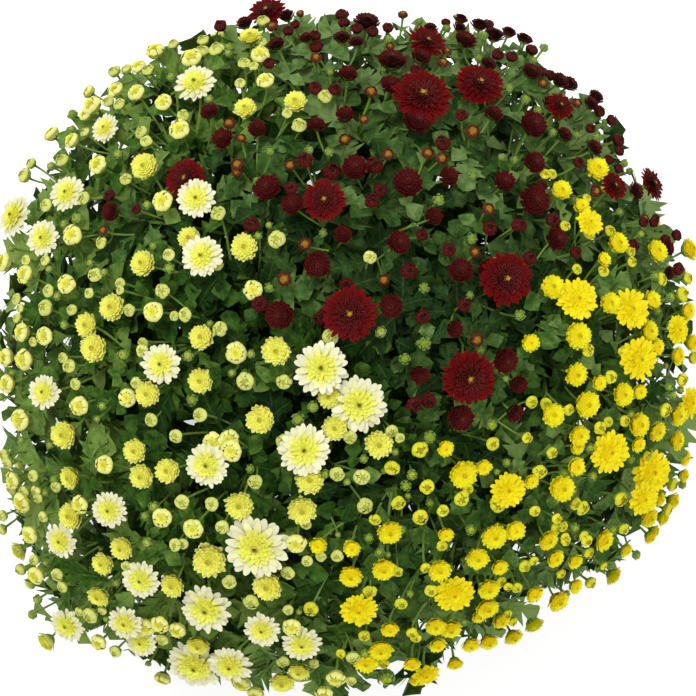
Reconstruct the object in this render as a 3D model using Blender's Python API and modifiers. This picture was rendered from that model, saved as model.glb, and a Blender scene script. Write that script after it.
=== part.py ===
"""Three varieties of pot chrysanthemum, ivory, red and yellow, grown as one dome in a nursery pot.

Metres, +Z up. The origin is the middle of the pot's flat base.
"""
import math
import random

import bmesh
import bpy
import numpy as np
from mathutils import Matrix, Vector

MM = 0.001
FIT = 0.3 * MM

# The pot.
POT_HEIGHT = 150 * MM
POT_BASE_RADIUS = 68 * MM
POT_MOUTH_RADIUS = 90 * MM
POT_WALL = 2.4 * MM
POT_LIP_WIDTH = 4 * MM
POT_LIP_DEPTH = 14 * MM
POT_SIDES = 24
DRAIN_HOLES = 6
DRAIN_HOLE_RADIUS = 6 * MM
DRAIN_CIRCLE_RADIUS = 50 * MM

# The potting mix and the shoots that stand in it.
MIX_TOP = 137 * MM
HOLE_DEPTH = 30 * MM
STEM_RADIUS = 2.6 * MM
STEM_TIP_RADIUS = 2.0 * MM
CROWN_RADIUS = 60 * MM

# The dome of heads: an ellipsoid, blunter below its widest level than above it.
DOME_RADIUS = 246 * MM
DOME_RISE = 206 * MM
DOME_DROP = 100 * MM
DOME_LEVEL = 172 * MM
# Where it is broader or narrower than round: bearing and spread in degrees, and share of the radius.
DOME_SWELLS = ((222, 15, 0.15), (300, 24, -0.07), (85, 20, -0.06))
# A shoot forks this share of the way out, in a leafy knot of short side growth.
FORK_SHARE = 0.62
CORE_LENGTH = 42 * MM
CORE_RADIUS = 29 * MM
CORE_DENTS = 0.82

# The view from above that the places of the heads are read in: pixels of a 696-pixel square.
VIEW_CENTRE_PX = (345, 350)
VIEW_EDGE_PX = 366
VIEW_HEIGHT = 2.2

# Where the three varieties meet, and the bearings from there at which each gives way to the next.
MEETING_PX = (385, 425)
RED_FROM = 40
IVORY_FROM = 107
YELLOW_FROM = 260

# Shoots stand in rings round the middle one: how many, and how far their tips lean, in degrees.
SHOOT_RINGS = ((1, 0, 0), (5, 27, 20), (8, 53, 0), (10, 79, 15))
# One slim red shoot comes up among the ivory ones: its place, and its size against the others'.
STRAY_RED_PX = (213, 193)
STRAY_LEAN = 0.55
STRAY_CORE = 0.42

# Open blooms: place in the view from above, in pixels, and width across the rays, in mm.
OPEN_BLOOMS = {
    "ivory": (
        (321, 368, 34), (359, 406, 36), (304, 450, 33), (256, 547, 42), (206, 609, 34), (195, 665, 38),
        (232, 660, 30), (161, 364, 27), (202, 256, 28), (207, 465, 28), (195, 83, 30), (43, 392, 24),
        (109, 510, 25), (61, 541, 25), (141, 580, 26), (67, 625, 25), (125, 624, 24), (262, 629, 24),
        (302, 644, 27), (18, 214, 27), (67, 194, 25), (43, 239, 23), (196, 198, 25), (105, 127, 22),
    ),
    "red": (
        (422, 96, 39), (480, 84, 32), (324, 200, 28), (350, 314, 35), (506, 279, 35), (469, 378, 35),
        (183, 176, 28), (267, 12, 28), (427, 42, 23), (560, 106, 24), (650, 187, 24), (613, 188, 22),
    ),
    "yellow": (
        (578, 299, 27), (631, 309, 27), (639, 359, 31), (678, 330, 22), (610, 452, 29), (652, 472, 30),
        (634, 494, 25), (688, 402, 24), (359, 610, 27), (454, 594, 29), (508, 491, 24), (426, 676, 23),
        (590, 222, 20),
    ),
}

# Half-open heads, in the same way.
HALF_OPEN = {
    "ivory": (
        (111, 307, 17), (93, 349, 17), (142, 263, 16), (63, 435, 17), (147, 394, 15), (200, 381, 15),
        (200, 337, 15), (189, 238, 14), (276, 351, 18), (261, 420, 17), (334, 431, 15), (378, 447, 17),
        (244, 247, 16), (237, 352, 14), (209, 560, 20), (102, 564, 14), (172, 586, 15), (98, 597, 14),
        (121, 551, 14), (141, 477, 15), (167, 471, 14), (69, 478, 14), (302, 512, 17), (309, 480, 17),
        (267, 587, 18), (239, 506, 17), (299, 673, 14), (144, 166, 17), (46, 643, 16), (245, 108, 15),
        (250, 36, 15), (295, 101, 14), (134, 451, 14), (86, 325, 14), (172, 625, 15),
    ),
    "red": (
        (392, 59, 18), (416, 124, 17), (408, 180, 18), (266, 187, 16), (293, 204, 14), (534, 124, 18),
        (536, 162, 15), (535, 200, 19), (504, 181, 14), (316, 264, 15), (279, 315, 17), (391, 306, 15),
        (399, 242, 14), (460, 270, 15), (461, 418, 16), (506, 361, 15), (557, 238, 14), (355, 167, 16),
        (367, 19, 16), (421, 375, 13), (519, 385, 12), (209, 111, 12), (222, 138, 12), (109, 203, 12),
    ),
    "yellow": (
        (553, 287, 15), (579, 336, 16), (576, 375, 14), (588, 404, 17), (624, 395, 15), (639, 424, 16),
        (554, 415, 15), (580, 439, 15), (619, 243, 14), (658, 251, 14), (605, 303, 13), (655, 331, 13),
        (531, 343, 12), (598, 169, 14), (562, 190, 14), (390, 533, 15), (351, 578, 15), (384, 570, 15),
        (458, 476, 17), (439, 571, 14), (437, 628, 14), (381, 652, 16), (563, 489, 16), (495, 536, 17),
        (478, 559, 14), (549, 541, 14), (490, 589, 16), (605, 540, 16), (650, 522, 15), (559, 602, 16),
        (488, 611, 15), (514, 639, 14),
    ),
}

# The widest open blooms of each variety are solids of their own. The rest grow on their shoots.
OWN_NODE_BLOOMS = {"ivory": 16, "red": 9, "yellow": 8}
WIDE_BLOOM_RADIUS = 16 * MM
WIDE_BLOOM_PETALS = 9
SMALL_BLOOM_PETALS = 8
SHOOT_BLOOM_PETALS = 7
BLOOM_SEAT = 2.2 * MM
TIGHT_WIDTH = 15.5 * MM

# A head faces along the dome's normal, the way that its stalk leans, and up to the light.
STALK_PULL = 0.3
LIGHT_PULL = 0.8
HEAD_TILT = 0.12
HEAD_SEAT = {"own": -0.42, "open": -0.40, "half": -0.5, "button": -0.55}
# What is tried to find a head room: shifts along the dome's normal, and stalk roots along the core.
HEAD_SHIFTS = (0, -4, 4, -8, 8, -13, -18)
ROOT_SHARES = (0, 0.4, -0.4, 0.7)
ROOT_DEPTH = 0.6
STALK_RADIUS = 1.2 * MM
SHOOTS_TRIED = 3

# Buttons by rule: on thin shoots, and round the skirt, which the view from above doesn't show.
BUTTONS_PER_SHOOT = 1
CROWDED = 8
BUTTON_SPREAD = 0.30
BUTTON_WIDTHS = (9, 13)
SKIRT_SHOOT_RISE = 0.35
SKIRT_BUTTONS_PER_SHOOT = 2
SKIRT_DROPS = (-0.42, -0.12)
SKIRT_SPREAD = 0.25
SKIRT_WIDTHS = (10, 15)

# Leaves out of the sides of the leafy knots.
LEAVES_PER_SHOOT = 5
LEAF_TRIES = 160
LEAF_LENGTHS = (34, 46)
LEAF_SHRINK = 0.3
LEAF_CLIMBS = (5, 60)
LEAF_SEATS = (-0.1, 0.6)
LOWEST_LEAF_TIP = 118 * MM
LEAF_THICKNESS = 0.8 * MM
SEED = 20

COLOURS = {
    "ivory": (0.90, 0.87, 0.62),
    "red": (0.30, 0.012, 0.02),
    "yellow": (0.95, 0.72, 0.02),
}


for thing in list(bpy.data.objects):
    bpy.data.objects.remove(thing)


def material(name, colour, roughness):
    """A plain finish with one colour all over."""
    made = bpy.data.materials.new(name)
    made.use_nodes = True
    shader = made.node_tree.nodes["Principled BSDF"]
    shader.inputs["Base Color"].default_value = (*colour, 1)
    shader.inputs["Roughness"].default_value = roughness
    shader.inputs["Metallic"].default_value = 0
    return made


plant = bpy.data.collections.new("pot_chrysanthemum")
cutters = bpy.data.collections.new("cutters")
for collection in (plant, cutters):
    bpy.context.scene.collection.children.link(collection)

foliage = material("foliage", (0.045, 0.12, 0.035), 0.6)
pot_plastic = material("pot_plastic", (0.02, 0.02, 0.022), 0.5)
mix_material = material("potting_mix", (0.035, 0.022, 0.014), 0.95)
petal_materials = {name: material(f"{name}_petal", colour, 0.5) for name, colour in COLOURS.items()}


def unit(vector):
    return vector / np.linalg.norm(vector)


def rings_mesh(rings):
    """Points and faces of a closed skin over rings of points, first to last.

    Each ring runs anticlockwise seen from the last one's side. Two neighbouring rings may differ in
    how many points they have: the band between them steps on whichever ring is behind. A ring of one
    point is a tip.
    """
    points = np.concatenate(rings)
    starts = np.cumsum([0] + [len(ring) for ring in rings])
    faces = []
    for band in range(len(rings) - 1):
        low, high = len(rings[band]), len(rings[band + 1])
        i = j = 0
        while i < low or j < high:
            a = starts[band] + i % low
            b = starts[band + 1] + j % high
            if j >= high or (i < low and (i + 1) * high <= (j + 1) * low):
                c = starts[band] + (i + 1) % low
                i += 1
            else:
                c = starts[band + 1] + (j + 1) % high
                j += 1
            if c not in (a, b):
                faces.append((a, c, b))
    if len(rings[0]) > 2:
        faces.append(tuple(range(len(rings[0]) - 1, -1, -1)))
    faces.append(tuple(range(starts[-2], starts[-1])))
    return points, faces


def mesh_object(name, points, faces, finish):
    """An object at the origin with the given points and faces."""
    mesh = bpy.data.meshes.new(name)
    mesh.from_pydata([tuple(point) for point in points], [], [tuple(map(int, face)) for face in faces])
    mesh.materials.append(finish)
    made = bpy.data.objects.new(name, mesh)
    plant.objects.link(made)
    return made


def cross_axes(axis):
    """Two unit vectors square to an axis, which turn anticlockwise seen from its tip."""
    helper = np.array((0, 0, 1.0)) if abs(axis[2]) < 0.9 else np.array((1.0, 0, 0))
    side = unit(np.cross(helper, axis))
    return side, np.cross(axis, side)


def ring(centre, axis, radii, turn=0.0):
    """Points round an axis at equal angles, one for each radius."""
    side, other = cross_axes(axis)
    angles = turn + np.arange(len(radii)) * 2 * math.pi / len(radii)
    radii = np.asarray(radii)[:, None]
    return centre + radii * (np.cos(angles)[:, None] * side + np.sin(angles)[:, None] * other)


# The dome.

def breadth(x, y):
    """The dome's radius at a bearing, as a share of DOME_RADIUS: each swell is a bell curve."""
    bearing = math.degrees(math.atan2(y, x))
    share = 1.0
    for middle, spread, swell in DOME_SWELLS:
        off = (bearing - middle + 180) % 360 - 180
        share += swell * math.exp(-(off / spread) ** 2)
    return share


def dome_point(direction, share=1.0):
    """Where a direction from the dome's middle meets its skin, or a share of the way there."""
    rise = DOME_RISE if direction[2] > 0 else DOME_DROP
    radius = DOME_RADIUS * breadth(direction[0], direction[1])
    reach = 1 / math.sqrt((direction[0] ** 2 + direction[1] ** 2) / radius ** 2
                          + (direction[2] / rise) ** 2)
    return np.array((0, 0, DOME_LEVEL)) + direction * reach * share


def dome_normal(point):
    """The way the dome's skin faces at a point on it."""
    rise = DOME_RISE if point[2] > DOME_LEVEL else DOME_DROP
    radius = DOME_RADIUS * breadth(point[0], point[1])
    return unit(np.array((point[0] / radius ** 2, point[1] / radius ** 2,
                          (point[2] - DOME_LEVEL) / rise ** 2)))


def seen_from_above(across_px, down_px):
    """The point of the dome's skin that shows at a pixel of the view from above."""
    height = VIEW_HEIGHT - DOME_LEVEL
    pixels_per_slope = VIEW_EDGE_PX * math.sqrt(height ** 2 - DOME_RISE ** 2) / DOME_RADIUS
    broad = breadth(across_px - VIEW_CENTRE_PX[0], VIEW_CENTRE_PX[1] - down_px)
    slope_x = (across_px - VIEW_CENTRE_PX[0]) / pixels_per_slope / broad
    slope_y = (VIEW_CENTRE_PX[1] - down_px) / pixels_per_slope / broad
    edge_slope = 0.999 * DOME_RADIUS / math.sqrt(height ** 2 - DOME_RISE ** 2)
    shrink = min(1, edge_slope / max(math.hypot(slope_x, slope_y), 1e-9))
    slope_x, slope_y = slope_x * shrink, slope_y * shrink
    a = (slope_x ** 2 + slope_y ** 2) / DOME_RADIUS ** 2 + 1 / DOME_RISE ** 2
    b = -2 * height / DOME_RISE ** 2
    c = height ** 2 / DOME_RISE ** 2 - 1
    drop = (-b - math.sqrt(max(b * b - 4 * a * c, 0))) / (2 * a)
    return np.array((slope_x * drop * broad, slope_y * drop * broad, VIEW_HEIGHT - drop))


def variety_at(point):
    """Which variety grows at a point, by its bearing from the place where all three meet."""
    meeting = seen_from_above(*MEETING_PX)
    bearing = math.degrees(math.atan2(point[1] - meeting[1], point[0] - meeting[0])) % 360
    if RED_FROM <= bearing < IVORY_FROM:
        return "red"
    return "ivory" if IVORY_FROM <= bearing < YELLOW_FROM else "yellow"


# Room: balls stand for what is placed, so that nothing new is put where something already is.

class Room:
    """What is placed, as balls. Those of a shoot's stem and core carry its foot's number."""

    def __init__(self):
        self.centres = np.zeros((0, 3))
        self.radii = np.zeros(0)
        self.feet = np.zeros(0, int)

    def take(self, centres, radii, foot=-1):
        self.centres = np.concatenate((self.centres, centres))
        self.radii = np.concatenate((self.radii, radii))
        self.feet = np.concatenate((self.feet, np.full(len(radii), foot)))

    def is_free(self, centres, radii, gap, own_foot):
        """Whether balls stay a gap clear of everything but the shoot that they grow from."""
        if not len(self.radii) or not len(radii):
            return True
        middle = centres.mean(axis=0)
        reach = np.linalg.norm(centres - middle, axis=1).max() + radii.max() + gap
        near = np.linalg.norm(self.centres - middle, axis=1) < self.radii + reach
        near &= self.feet != own_foot
        apart = np.linalg.norm(self.centres[near][:, None] - centres[None], axis=2)
        return bool((apart > self.radii[near][:, None] + radii[None] + gap).all())


room = Room()


def rod_balls(start, end, radius):
    """Balls along a straight rod."""
    count = max(2, int(np.linalg.norm(end - start) / (2.5 * MM)))
    shares = np.linspace(0, 1, count)[:, None]
    return start + (end - start) * shares, np.full(count, radius + 0.4 * MM)


def bloom_balls(centre, axis, radius):
    """Balls that fill a bloom's flat, wide shape."""
    outer = ring(centre - 0.05 * radius * axis, axis, [0.78 * radius] * 10)
    inner = ring(centre, axis, [0.42 * radius] * 5)
    balls = np.concatenate((outer, inner, [centre + 0.08 * radius * axis, centre - 0.2 * radius * axis]))
    return balls, np.array([0.24 * radius] * 10 + [0.33 * radius] * 5 + [0.36 * radius, 0.24 * radius])


# Shoots.

class Shoot:
    """One leafy shoot: where it stands, its tip's direction, and the pieces grown on it."""

    def __init__(self, number, variety, direction, foot_share, core_size=1.0):
        self.number = number
        self.variety = variety
        self.core_length = core_size * CORE_LENGTH
        self.core_radius = core_size * CORE_RADIUS
        self.direction = unit(direction)
        self.fork = dome_point(self.direction, FORK_SHARE)
        lean = np.array((self.direction[0], self.direction[1], 0))
        self.foot = lean * foot_share * CROWN_RADIUS + np.array((0, 0, MIX_TOP - HOLE_DEPTH + FIT))
        self.parts = []
        self.core_axis = unit(self.fork - self.stem_path()[-2])

    def stem_path(self):
        """Up out of the mix, then over in an even bend to the fork."""
        top = self.foot + np.array((0, 0, HOLE_DEPTH + 4 * MM))
        rise = top + np.array((0, 0, 0.35 * np.linalg.norm(self.fork - top)))
        bend = [(1 - t) ** 2 * top + 2 * t * (1 - t) * rise + t * t * self.fork for t in (0.5, 1.0)]
        return [self.foot, top] + bend

    def core_depth(self, points):
        """How far out points lie from the middle of the shoot's leafy knot: 1 is on its skin."""
        along = (points - self.fork) @ self.core_axis
        across = np.linalg.norm(points - self.fork - along[..., None] * self.core_axis, axis=-1)
        return np.sqrt((along / self.core_length) ** 2 + (across / self.core_radius) ** 2)


def ring_directions():
    """The directions from the dome's middle to the shoots' tips, ring by ring."""
    directions = []
    for count, lean, turn in SHOOT_RINGS:
        for step in range(count):
            bearing = math.radians(turn + step * 360 / count)
            tilt = math.radians(lean)
            directions.append(np.array((math.sin(tilt) * math.cos(bearing),
                                        math.sin(tilt) * math.sin(bearing), math.cos(tilt))))
    return directions


def grow_shoots():
    made = []
    for direction in ring_directions():
        point = dome_point(direction)
        share = math.hypot(*direction[:2])
        made.append(Shoot(len(made), variety_at(point), direction, 1.0 if share else 0))
    stray = seen_from_above(*STRAY_RED_PX) - np.array((0, 0, DOME_LEVEL))
    made.append(Shoot(len(made), "red", stray, STRAY_LEAN, STRAY_CORE))
    return made


shoots = grow_shoots()
for shoot in shoots:
    path = shoot.stem_path()
    for start, end in zip(path, path[1:]):
        room.take(*rod_balls(start, end, STEM_RADIUS), shoot.number)
    along = np.linspace(-0.8, 0.8, 7)[:, None] * shoot.core_length
    girth = shoot.core_radius * np.sqrt(1 - np.linspace(-0.8, 0.8, 7) ** 2)
    room.take(shoot.fork + along * shoot.core_axis, girth, shoot.number)


def nearest_shoots(point, variety):
    """The shoots of a variety, nearest first, by the angle between their tips and a point."""
    way = unit(point - np.array((0, 0, DOME_LEVEL)))
    own = [shoot for shoot in shoots if shoot.variety == variety]
    return sorted(own, key=lambda shoot: -float(shoot.direction @ way))


def head_rings(base, centre, axis, radius, profile):
    """Rings of a stalk that ends in a head. It starts as a point, deep in the shoot's core.

    The profile gives each ring of the head as (how far along the axis, radii round it, turn), all in
    shares of the head's radius, with turn in radians.
    """
    rings = [base[None]]
    for along, radii, turn in profile:
        rings.append(ring(centre + along * radius * axis, axis, np.asarray(radii) * radius, turn))
    return rings


def star(petals, tip, notch):
    """Radii of a rim that runs from petal tip to notch and back."""
    return [tip, notch] * petals


def rosette_profile(petals, petal_layers, seat):
    """A bloom's rings: its seat, then for each layer of petals a rim and the valley above it."""
    half = math.pi / petals
    profile = [(seat[0], [seat[1]] * seat[2], 0)]
    for layer, (reach, notch, rim_at, valley, valley_at) in enumerate(petal_layers):
        turn = half * (layer % 2)
        profile.append((rim_at, star(petals, reach, notch), turn))
        profile.append((valley_at, [valley] * petals, turn))
    profile.append((0.30, [0.15] * 5, 0))
    return profile


# Each layer of petals, in shares of the head's radius: how far its tips and its notches reach, how
# high its rim lies, then the valley above it: how wide, and how high.
PETAL_LAYERS = (
    (1.0, 0.76, -0.02, 0.50, 0.07),
    (0.70, 0.52, 0.17, 0.27, 0.23),
)
# Profiles of head_rings, from the seat up.
OWN_SEAT_AT = -0.40
OPEN_SEAT = (-0.36, 0.14, 3)
BUTTON_PROFILE = (
    (-0.55, [0.24] * 3, 0),
    (-0.02, [0.98] * 6, 0),
    (0.50, [0.55] * 3, 0.5),
)
HALF_OPEN_PROFILE = (
    (-0.50, [0.20] * 3, 0),
    (0.02, star(5, 1.0, 0.82), 0),
    (0.38, [0.52] * 5, 0.6),
)


def try_head(shoot, point, radius, balls_of, seat_along, tilt):
    """Find a clear way for a stalk from the shoot's core to a head, or say there is none."""
    normal = dome_normal(point)
    for shift in HEAD_SHIFTS:
        centre = point + normal * shift * MM
        for share in ROOT_SHARES:
            root = shoot.fork + shoot.core_axis * shoot.core_length * share
            way = unit(centre - root)
            start = root - way * ROOT_DEPTH * (1 - abs(share)) * shoot.core_radius
            axis = unit(normal + STALK_PULL * unit(centre - start) + tilt + (0, 0, LIGHT_PULL))
            seat = centre + seat_along * radius * axis
            rods, thickness = rod_balls(start, seat, STALK_RADIUS)
            outside = shoot.core_depth(rods) > 1.02
            balls, sizes = balls_of(centre, axis, radius)
            every = np.concatenate((rods[outside], balls))
            all_sizes = np.concatenate((thickness[outside], sizes))
            if room.is_free(every, all_sizes, 1.0 * MM, shoot.number):
                room.take(every, all_sizes)
                return start, centre, axis
    return None


def small_balls(centre, axis, radius):
    return np.array([centre, centre - 0.25 * radius * axis]), np.array([radius, 0.8 * radius])


own_blooms = []
draws = random.Random(SEED)


def grow_head(variety, point, width, kind):
    """A head of one kind at a point, on the nearest shoot of its variety that has a clear way to it."""
    radius = 0.5 * width
    tilt = np.array([draws.uniform(-HEAD_TILT, HEAD_TILT) for _ in range(3)])
    balls_of = bloom_balls if kind in ("own", "open") else small_balls
    for shoot in nearest_shoots(point, variety)[:SHOOTS_TRIED]:
        found = try_head(shoot, point, radius, balls_of, HEAD_SEAT[kind], tilt)
        if not found:
            continue
        start, centre, axis = found
        if kind == "own":
            profile = ((OWN_SEAT_AT, [BLOOM_SEAT / radius] * 3, 0),)
            shoot.parts.append(head_rings(start, centre - FIT * axis, axis, radius, profile))
            own_blooms.append((variety, centre, axis, radius))
        elif kind == "open":
            profile = rosette_profile(SHOOT_BLOOM_PETALS, PETAL_LAYERS, OPEN_SEAT)
            shoot.parts.append(head_rings(start, centre, axis, radius, profile))
        else:
            profile = HALF_OPEN_PROFILE if kind == "half" and width > TIGHT_WIDTH else BUTTON_PROFILE
            shoot.parts.append(head_rings(start, centre, axis, radius, profile))
        return


for variety, places in OPEN_BLOOMS.items():
    by_width = sorted((place[2] for place in places), reverse=True)
    least_own = by_width[OWN_NODE_BLOOMS[variety] - 1]
    left = OWN_NODE_BLOOMS[variety]
    for across, down, width in places:
        own = width >= least_own and left > 0
        left -= own
        grow_head(variety, seen_from_above(across, down), width * MM, "own" if own else "open")
for variety, places in HALF_OPEN.items():
    for across, down, width in places:
        grow_head(variety, seen_from_above(across, down), width * MM, "half")


def near_shoot(shoot, spread):
    """A drawn point of the dome's skin near a shoot's tip."""
    side, other = cross_axes(shoot.direction)
    way = shoot.direction + side * draws.uniform(-spread, spread) + other * draws.uniform(-spread, spread)
    return dome_point(unit(way))


for shoot in shoots:
    for _ in range(BUTTONS_PER_SHOOT if len(shoot.parts) < CROWDED else 0):
        place = near_shoot(shoot, BUTTON_SPREAD)
        grow_head(shoot.variety, place, draws.uniform(*BUTTON_WIDTHS) * MM, "button")
    if shoot.direction[2] < SKIRT_SHOOT_RISE:
        for _ in range(SKIRT_BUTTONS_PER_SHOOT):
            way = shoot.direction + np.array((0, 0, draws.uniform(*SKIRT_DROPS)))
            side = np.cross((0, 0, 1.0), shoot.direction)
            way = way + side * draws.uniform(-SKIRT_SPREAD, SKIRT_SPREAD)
            grow_head(shoot.variety, dome_point(unit(way)), draws.uniform(*SKIRT_WIDTHS) * MM, "button")


# Leaves.

# Places on one side of a leaf's edge, as shares of its length: how far along, and how far out.
LEAF_BASE = (0.02, 0.028)
FIVE_LOBES = ((0.30, 0.34), (0.44, 0.13), (0.66, 0.29), (0.76, 0.12))
THREE_LOBES = ((0.42, 0.36), (0.60, 0.13))
LEAF_DROOP = 0.16
LOBE_LIFT = 0.07
FEWEST_LOBES_BELOW = 42 * MM


def leaf_points(base, along, face, length, petiole):
    """The upper skin of a lobed leaf and its leaf stalk: points, triangles and the rim's order.

    Lobe tips and the notches after them take turns down each side. The blade arches along its midrib
    and its lobes lift. Triangles run in a strip between the notches, with one more out to each lobe.
    """
    side = np.cross(face, along)
    outline = (LEAF_BASE,) + (THREE_LOBES if length < FEWEST_LOBES_BELOW else FIVE_LOBES)

    def place(x, y, lift):
        height = lift - LEAF_DROOP * x * x
        return base + along * (petiole + x * length) + (side * y + face * height) * length

    lifts = [0] + [LOBE_LIFT, 0] * (len(outline) // 2)
    left = [place(x, y, lift) for (x, y), lift in zip(outline, lifts)]
    right = [place(x, -y, lift) for (x, y), lift in zip(outline, lifts)]
    top = np.array(left + right + [place(1.0, 0, 0)])
    other = len(left)
    tip = 2 * other
    triangles = []
    for near in range(0, other - 1, 2):
        far = near + 2
        triangles += [(near, other + near, other + far), (near, other + far, far)]
        triangles += [(near, far, near + 1), (other + near, other + near + 1, other + far)]
    triangles.append((other - 1, tip - 1, tip))
    rim = list(range(other, tip + 1)) + list(range(other - 1, -1, -1))
    return top, triangles, rim


def leaf_mesh(base, along, face, length, petiole):
    """A leaf as a closed blade, with a leaf stalk that tapers to a point deep in the core."""
    top, triangles, rim = leaf_points(base, along, face, length, petiole)
    count = len(top)
    points = np.concatenate((top, top - face * LEAF_THICKNESS, base[None]))
    faces = list(triangles) + [(c + count, b + count, a + count) for a, b, c in triangles]
    for a, b in zip(rim, rim[1:]):
        faces += [(a, a + count, b + count), (a, b + count, b)]
    right, left, root = rim[0], rim[-1], 2 * count
    faces += [(root, right, left), (root, left + count, right + count)]
    faces += [(left, left + count, root), (right, root, right + count)]
    return points, faces


def leaf_balls(base, along, face, length, petiole):
    """Balls over a leaf: along its stalk, its midrib and its lobes."""
    side = np.cross(face, along)
    balls = [base + along * d for d in np.arange(0, petiole, 2.5 * MM)]
    sizes = [1.6 * MM] * len(balls)
    for x in np.linspace(0.08, 0.97, 9):
        width = 0.30 * math.sin(math.pi * min(x + 0.12, 1)) + 0.02
        for y in np.linspace(-width, width, 5):
            lift = -LEAF_DROOP * x * x + 0.06 * abs(y) / 0.3
            balls.append(base + along * (petiole + x * length) + side * y * length + face * lift * length)
            sizes.append(0.062 * length)
    return np.array(balls), np.array(sizes)


def grow_leaf(shoot, bearing, climb, seat_share, length):
    """One leaf out of the side of a shoot's core, if there is room for it."""
    side, other = cross_axes(shoot.core_axis)
    out = side * math.cos(bearing) + other * math.sin(bearing)
    along = unit(out * math.cos(climb) + shoot.core_axis * math.sin(climb))
    axis_point = shoot.fork + shoot.core_axis * shoot.core_length * seat_share
    face = unit(shoot.direction - along * (shoot.direction @ along))
    petiole = 0.96 * shoot.core_radius + 6 * MM
    balls, sizes = leaf_balls(axis_point, along, face, length, petiole)
    outside = shoot.core_depth(balls) > 1.05
    tip = axis_point + along * (petiole + length)
    if tip[2] < LOWEST_LEAF_TIP:
        return False
    if not room.is_free(balls[outside], sizes[outside], 0.8 * MM, shoot.number):
        return False
    room.take(balls[outside], sizes[outside])
    shoot.parts.append(leaf_mesh(axis_point, along, face, length, petiole))
    return True


for shoot in shoots:
    grown = 0
    for attempt in range(LEAF_TRIES):
        if grown == LEAVES_PER_SHOOT:
            break
        length = draws.uniform(*LEAF_LENGTHS) * MM * (1 - LEAF_SHRINK * attempt / LEAF_TRIES)
        climb = math.radians(draws.uniform(*LEAF_CLIMBS))
        grown += grow_leaf(shoot, draws.uniform(0, 2 * math.pi), climb, draws.uniform(*LEAF_SEATS), length)


# Solids.

def keep_largest_body(mesh):
    """Fill the hollows that a union sealed, and drop loose scraps: only the largest shell stays."""
    shell = bmesh.new()
    shell.from_mesh(mesh)
    waiting = set(shell.verts)
    bodies = []
    while waiting:
        reached = [waiting.pop()]
        for vertex in reached:
            for edge in vertex.link_edges:
                other = edge.other_vert(vertex)
                if other in waiting:
                    waiting.remove(other)
                    reached.append(other)
        bodies.append(reached)
    bodies.sort(key=len)
    for body in bodies[:-1]:
        bmesh.ops.delete(shell, geom=body, context="VERTS")
    shell.to_mesh(mesh)
    shell.free()


def union(name, base, extras, finish):
    """Join the extras to a base object and leave one mesh under the given name."""
    grown = bpy.data.collections.new(name + "_grown")
    bpy.context.scene.collection.children.link(grown)
    for extra in extras:
        plant.objects.unlink(extra)
        grown.objects.link(extra)
    join = base.modifiers.new("join", "BOOLEAN")
    join.operation = "UNION"
    join.operand_type = "COLLECTION"
    join.collection = grown
    join.solver = "MANIFOLD"
    bpy.context.view_layer.update()
    joined = bpy.data.meshes.new_from_object(base.evaluated_get(bpy.context.evaluated_depsgraph_get()))
    base.modifiers.clear()
    base.data = joined
    base.name = name
    keep_largest_body(joined)
    joined.materials.clear()
    joined.materials.append(finish)
    for extra in extras:
        bpy.data.objects.remove(extra)
    bpy.data.collections.remove(grown)
    return base


def stem_tube(name, path):
    """A tube along a shoot's path, a little thinner at its tip."""
    curve = bpy.data.curves.new(name, "CURVE")
    curve.dimensions = "3D"
    curve.bevel_depth = STEM_RADIUS
    curve.bevel_resolution = 0
    curve.use_fill_caps = True
    spline = curve.splines.new("POLY")
    spline.points.add(len(path) - 1)
    for step, point in enumerate(path):
        spline.points[step].co = (*point, 1)
        taper = step / (len(path) - 1)
        spline.points[step].radius = 1 + (STEM_TIP_RADIUS / STEM_RADIUS - 1) * taper
    bent = bpy.data.objects.new(name, curve)
    plant.objects.link(bent)
    bpy.context.view_layer.update()
    mesh = bpy.data.meshes.new_from_object(bent.evaluated_get(bpy.context.evaluated_depsgraph_get()))
    tidy = bmesh.new()
    tidy.from_mesh(mesh)
    bmesh.ops.remove_doubles(tidy, verts=tidy.verts, dist=0.01 * MM)
    bmesh.ops.recalc_face_normals(tidy, faces=tidy.faces)
    tidy.to_mesh(mesh)
    tidy.free()
    made = bpy.data.objects.new(name, mesh)
    made.matrix_world = bent.matrix_world
    bpy.data.objects.remove(bent)
    bpy.data.curves.remove(curve)
    plant.objects.link(made)
    return made


def core_object(name, shoot):
    """The dense knot of short side growth at a shoot's tip, which leaves and stalks stand out of."""
    made = bmesh.new()
    side, other = cross_axes(shoot.core_axis)
    turn = Matrix((side, other, shoot.core_axis)).transposed().to_4x4()
    size = Matrix.Diagonal((shoot.core_radius, shoot.core_radius, shoot.core_length, 1))
    bmesh.ops.create_icosphere(made, subdivisions=1, radius=1,
                               matrix=Matrix.Translation(Vector(shoot.fork)) @ turn @ size)
    middle = Vector(shoot.fork)
    for vertex in made.verts:
        vertex.co = middle.lerp(vertex.co, draws.uniform(CORE_DENTS, 1))
    mesh = bpy.data.meshes.new(name)
    made.to_mesh(mesh)
    made.free()
    core = bpy.data.objects.new(name, mesh)
    plant.objects.link(core)
    return core


def build_shoot(name, shoot):
    stem = stem_tube(name, shoot.stem_path())
    extras = [core_object(name + "_core", shoot)]
    for part in shoot.parts:
        points, faces = part if isinstance(part, tuple) else rings_mesh(part)
        extras.append(mesh_object(name + "_grown", points, faces, foliage))
    union(name, stem, extras, foliage)


counts = {}
for shoot in shoots:
    counts[shoot.variety] = counts.get(shoot.variety, 0) + 1
    build_shoot(f"{shoot.variety}_shoot_{counts[shoot.variety]:02d}", shoot)

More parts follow.
